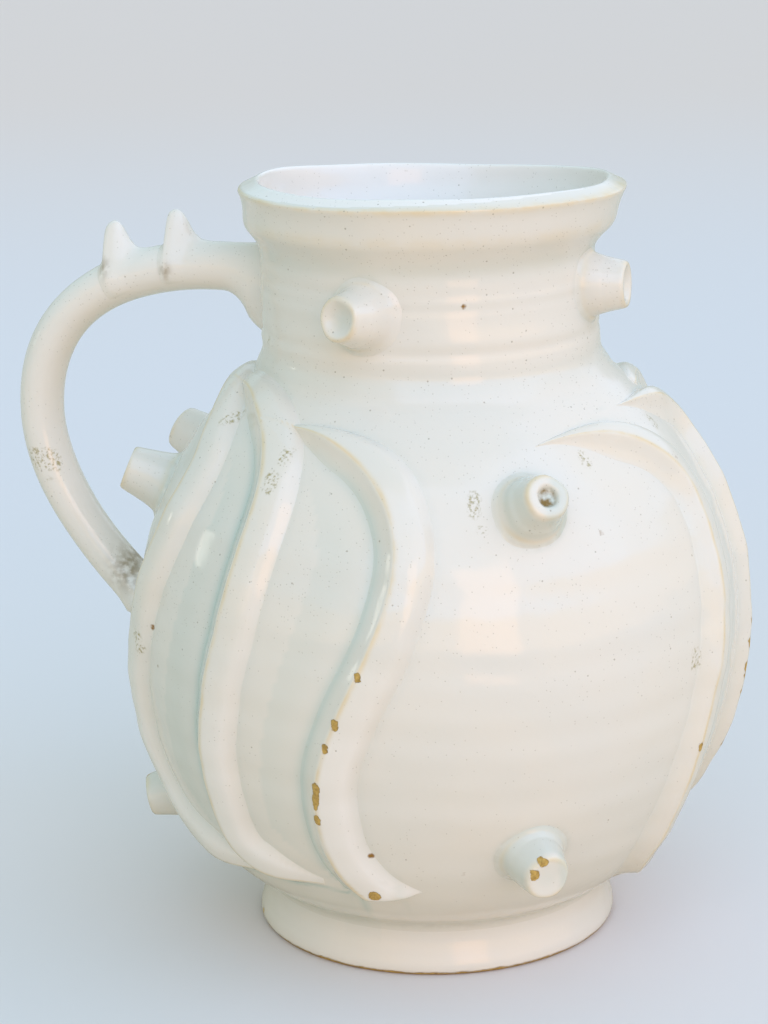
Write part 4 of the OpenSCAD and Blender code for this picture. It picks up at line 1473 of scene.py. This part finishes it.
        # Chips: flakes of glaze lost down to the ochre body
        edge = add(t, "ShaderNodeMath", {0: noise[1.4], 1: 0.14, 2: kept["chip"]},
                   operation="MULTIPLY_ADD")
        flake = add(t, "ShaderNodeMapRange", {
            "Value": edge, "From Min": 0.565, "From Max": 0.58})
        mottle = add(t, "ShaderNodeMapRange", {
            "Value": noise[0.9], "From Min": 0.35, "From Max": 0.7})
        body = add(t, "ShaderNodeMix", {"Factor": mottle, "A": linear(self.clay),
                                        "B": linear(self.clay_dark)}, data_type="RGBA")
        if self.stands:
            # The foot was wiped, and its rest has worn bare
            down = add(t, "ShaderNodeMath", {0: height, 1: -1.0 / MM}, operation="MULTIPLY")
            ring = add(t, "ShaderNodeMath", {0: noise[4.0], 1: 1.6, 2: down},
                       operation="MULTIPLY_ADD")
            wiped = add(t, "ShaderNodeMapRange", {
                "Value": ring, "From Min": -0.35, "From Max": 0.15})
            flake = add(t, "ShaderNodeMath", {0: flake, 1: wiped}, operation="MAXIMUM")
        colour = add(t, "ShaderNodeMix", {"Factor": flake, "A": colour, "B": body},
                     data_type="RGBA")

        # Relief in millimetres: slow ripple, orange peel, pits and flakes
        relief: object = 0.0
        for value, rise in ((noise[16.0], 0.34), (noise[5.5], 0.06), (noise[2.4], 0.011),
                            (dots, -0.12), (flake, -0.3)):
            relief = add(t, "ShaderNodeMath", {0: value, 1: rise, 2: relief},
                         operation="MULTIPLY_ADD")
        bump = add(t, "ShaderNodeBump", {"Height": relief, "Strength": 1.0, "Distance": MM})
        rough = add(t, "ShaderNodeMath", {0: noise[5.5], 1: 0.05, 2: self.gloss - 0.025},
                    operation="MULTIPLY_ADD")
        for share, dull in ((flake, 0.85), (grains, 0.4), (film, 0.8)):
            part = add(t, "ShaderNodeMath", {0: share, 1: dull}, operation="MULTIPLY")
            rough = add(t, "ShaderNodeMath", {0: rough, 1: part}, operation="MAXIMUM")
        shader = add(t, "ShaderNodeBsdfPrincipled", {
            "Base Color": colour, "Roughness": rough, "IOR": 1.52, "Normal": bump})
        out = add(t, "ShaderNodeOutputMaterial")
        t.links.new(shader.outputs[0], out.inputs["Surface"])
        return material


@dataclass(frozen=True)
class PaleFloor:
    """A plain, pale, matt floor, painted paler and bluer further back as a stand-in for the light
    across it.

    The light that it gives back to the pot is a little warmer than it looks.
    """

    near: str = "#E6DFDC"
    middle: str = "#E5DEDE"
    far: str = "#EAD6CB"
    given_back: str = "#D9CFBF"

    def build(self) -> bpy.types.Material:
        """Makes the material."""
        material = bpy.data.materials.new("pale_matt_floor")
        material.use_nodes = True
        t = material.node_tree
        t.nodes.clear()
        spot = add(t, "ShaderNodeTexCoord").outputs["Object"]
        # Painted light: the floor's colour shifts from near to far
        back = add(t, "ShaderNodeVectorMath", {0: spot, 1: (-0.2588, 0.9659, 0.0)},
                   operation="DOT_PRODUCT").outputs["Value"]
        ramp = add(t, "ShaderNodeMapRange", {"Value": back, "From Min": 0.0, "From Max": 0.6},
                   interpolation_type="SMOOTHSTEP")
        ramp2 = add(t, "ShaderNodeMapRange", {"Value": back, "From Min": 0.6, "From Max": 2.4},
                    interpolation_type="SMOOTHSTEP")
        colour = add(t, "ShaderNodeMix", {"Factor": ramp, "A": linear(self.near),
                                          "B": linear(self.middle)}, data_type="RGBA")
        colour = add(t, "ShaderNodeMix", {"Factor": ramp2, "A": colour,
                                          "B": linear(self.far)}, data_type="RGBA")
        seen = add(t, "ShaderNodeLightPath").outputs["Is Camera Ray"]
        colour = add(t, "ShaderNodeMix", {"Factor": seen, "A": linear(self.given_back),
                                          "B": colour}, data_type="RGBA")
        shader = add(t, "ShaderNodeBsdfPrincipled", {
            "Base Color": colour, "Roughness": 0.9, "Specular IOR Level": 0.1})
        out = add(t, "ShaderNodeOutputMaterial")
        t.links.new(shader.outputs[0], out.inputs["Surface"])
        return material


# ---------------------------------------------------------------- studio
@dataclass(frozen=True)
class Lamp:
    """One soft lamp, placed by azimuth from the camera and elevation, in degrees."""

    name: str
    azimuth: float
    elevation: float
    distance: float
    width: float
    height: float
    colour: str
    radiance: float


@dataclass
class Studio:
    """Floor, world, lamps and camera. The camera stands at azimuth 15 degrees."""

    camera_azimuth: float = 15.0
    camera_distance: float = 0.75537
    camera_height: float = 0.32736
    pitch: float = 0.2637
    yaw: float = 0.0183
    roll: float = -0.0201
    lens: float = 93.7
    # The daylight's parts, as radiance in red, green and blue
    window: tuple = (1.1, 1.5, 2.05)
    left_wall: tuple = (0.6, 0.75, 0.75)
    right_wall: tuple = (1.05, 1.15, 1.3)
    ceiling: tuple = (0.4, 0.65, 0.75)
    low_front: tuple = (1.45, 1.05, 0.65)
    low_back: tuple = (0.5, 0.55, 0.5)
    window_azimuth: float = 28.0
    window_edge: tuple = (0.45, 0.62)
    sill: tuple = (11.0, 17.0)
    head: tuple = (58.0, 68.0)
    backdrop: str = "#D0D3D9"
    lamps: tuple[Lamp, ...] = (
        Lamp("warm_panel", 20, 10, 1.6, 0.62, 1.3, "#FFB270", 2.0),
        Lamp("small_window", -105, 10, 1.5, 0.16, 0.16, "#FFF8EC", 2.4),
    )

    def turned(self, x: float, y: float, z: float) -> np.ndarray:
        """Turns a direction from the camera's own azimuth to the object's frame."""
        a = math.radians(self.camera_azimuth)
        return np.array([x * math.cos(a) - y * math.sin(a), x * math.sin(a) + y * math.cos(a), z])

    def build_camera(self) -> None:
        """Places the camera."""
        data = bpy.data.cameras.new("camera")
        data.lens = self.lens
        data.sensor_width = 36
        data.clip_end = 50
        right = self.turned(math.cos(self.yaw), math.sin(self.yaw), 0)
        level = self.turned(-math.sin(self.yaw), math.cos(self.yaw), 0)
        ahead = level * math.cos(self.pitch) - np.array([0, 0, math.sin(self.pitch)])
        up = level * math.sin(self.pitch) + np.array([0, 0, math.cos(self.pitch)])
        right, up = (right * math.cos(self.roll) + up * math.sin(self.roll),
                     up * math.cos(self.roll) - right * math.sin(self.roll))
        place = self.turned(0, -self.camera_distance, self.camera_height)
        camera = bpy.data.objects.new("camera", data)
        matrix = np.eye(4)
        matrix[:3, 0], matrix[:3, 1], matrix[:3, 2], matrix[:3, 3] = right, up, -ahead, place
        camera.matrix_world = Matrix(matrix.tolist())
        bpy.context.scene.collection.objects.link(camera)
        bpy.context.scene.camera = camera

    def build_lamps(self) -> None:
        """Hangs the lamps, all turned towards the pot."""
        aim = Vector((0, 0, 0.11))
        for lamp in self.lamps:
            data = bpy.data.lights.new(lamp.name, "AREA")
            data.shape = "RECTANGLE"
            data.size, data.size_y = lamp.width, lamp.height
            data.color = linear(lamp.colour)[:3]
            data.energy = lamp.radiance * math.pi * lamp.width * lamp.height
            a, e = math.radians(lamp.azimuth), math.radians(lamp.elevation)
            way = self.turned(math.cos(e) * math.sin(a), -math.cos(e) * math.cos(a), math.sin(e))
            obj = bpy.data.objects.new(lamp.name, data)
            obj.location = aim + Vector(way) * lamp.distance
            obj.rotation_euler = (aim - obj.location).to_track_quat("-Z", "Y").to_euler()
            bpy.context.scene.collection.objects.link(obj)

    def build_world(self) -> None:
        """Soft daylight: a tall window in front, dim walls beside it, a low warm room."""
        world = bpy.data.worlds.new("soft_daylight")
        world.use_nodes = True
        bpy.context.scene.world = world
        t = world.node_tree
        t.nodes.clear()
        way = add(t, "ShaderNodeTexCoord").outputs["Generated"]
        z = add(t, "ShaderNodeSeparateXYZ", {0: way}).outputs["Z"]
        flat = add(t, "ShaderNodeVectorMath", {0: way, 1: (1, 1, 0)}, operation="MULTIPLY")
        flat = add(t, "ShaderNodeVectorMath", {0: flat}, operation="NORMALIZE")
        a = math.radians(self.window_azimuth)
        shares = {}
        for label, side, low, high in (
                ("window", (math.sin(a), -math.cos(a), 0), *self.window_edge),
                ("front", (math.sin(a), -math.cos(a), 0), -0.5, 0.75),
                ("right", (1, 0, 0), -0.35, 0.35)):
            facing = add(t, "ShaderNodeVectorMath", {0: flat, 1: tuple(self.turned(*side))},
                         operation="DOT_PRODUCT").outputs["Value"]
            shares[label] = add(t, "ShaderNodeMapRange", {
                "Value": facing, "From Min": low, "From Max": high},
                interpolation_type="SMOOTHSTEP")
        for label, (low, high) in (("sill", self.sill), ("head", self.head)):
            shares[label] = add(t, "ShaderNodeMapRange", {
                "Value": z, "From Min": math.sin(math.radians(low)),
                "From Max": math.sin(math.radians(high))}, interpolation_type="SMOOTHSTEP")
        light: object = (*self.left_wall, 1.0)
        for label, top in (("right", self.right_wall), ("window", self.window)):
            light = add(t, "ShaderNodeMix", {"Factor": shares[label], "A": light,
                                             "B": (*top, 1.0)}, data_type="RGBA")
        light = add(t, "ShaderNodeMix", {"Factor": shares["head"], "A": light,
                                         "B": (*self.ceiling, 1.0)}, data_type="RGBA")
        below = add(t, "ShaderNodeMix", {"Factor": shares["front"], "A": (*self.low_back, 1.0),
                                         "B": (*self.low_front, 1.0)}, data_type="RGBA")
        light = add(t, "ShaderNodeMix", {"Factor": shares["sill"], "A": below, "B": light},
                    data_type="RGBA")
        seen = add(t, "ShaderNodeLightPath").outputs["Is Camera Ray"]
        shown = add(t, "ShaderNodeMix", {"Factor": seen, "A": light,
                                         "B": linear(self.backdrop)}, data_type="RGBA")
        back = add(t, "ShaderNodeBackground", {"Color": shown, "Strength": 1.0})
        out = add(t, "ShaderNodeOutputWorld")
        t.links.new(back.outputs[0], out.inputs["Surface"])

    def build_floor(self) -> bpy.types.Object:
        """Lays the floor."""
        a = np.radians(np.arange(96) * 3.75)
        rings = [0.0, 0.3, 0.8, 2.0, 5.0, 12.0]
        points = [(0.0, 0.0, 0.0)]
        for r in rings[1:]:
            points += [(r * math.cos(v), r * math.sin(v), 0.0) for v in a]
        faces = [(0, 1 + j, 1 + (j + 1) % 96) for j in range(96)]
        for i in range(len(rings) - 2):
            low, high = 1 + 96 * i, 97 + 96 * i
            faces += [(low + j, high + j, high + (j + 1) % 96, low + (j + 1) % 96)
                      for j in range(96)]
        mesh = bpy.data.meshes.new("floor")
        mesh.from_pydata(points, [], faces)
        floor = bpy.data.objects.new("floor", mesh)
        floor.data.materials.append(PaleFloor().build())
        bpy.context.scene.collection.objects.link(floor)
        return floor

    def build(self) -> None:
        """Sets up the whole studio."""
        bpy.context.scene.view_settings.view_transform = "Standard"
        self.build_camera()
        self.build_lamps()
        self.build_world()
        self.build_floor()


# ---------------------------------------------------------------- the build
def main() -> None:
    """Builds the pitcher and its studio."""
    logging.basicConfig(level=logging.INFO, format="%(name)s: %(message)s")
    wall = Wall()
    shop = ClayShop(wall)
    glaze = Faience("milk_white_faience").build()
    foot_glaze = Faience("faience_wiped_at_the_foot", stands=True).build()
    ribs, studs = RibSet(shop), StudSet(shop)
    pieces = Vessel(shop).build(glaze, foot_glaze)
    pieces += ribs.build(glaze)
    pieces += studs.build(glaze)
    pieces += Handle(shop).build(glaze)
    shop.sweep_up()
    dresser = Dresser(shop, ribs, studs)
    for obj in pieces:
        dresser.dress(obj)
        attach(obj, "root")
        LOG.info("%s: %d vertices, %d faces", obj.name, len(obj.data.vertices),
                 len(obj.data.polygons))
    Studio().build()


if __name__ == "__main__":
    main()
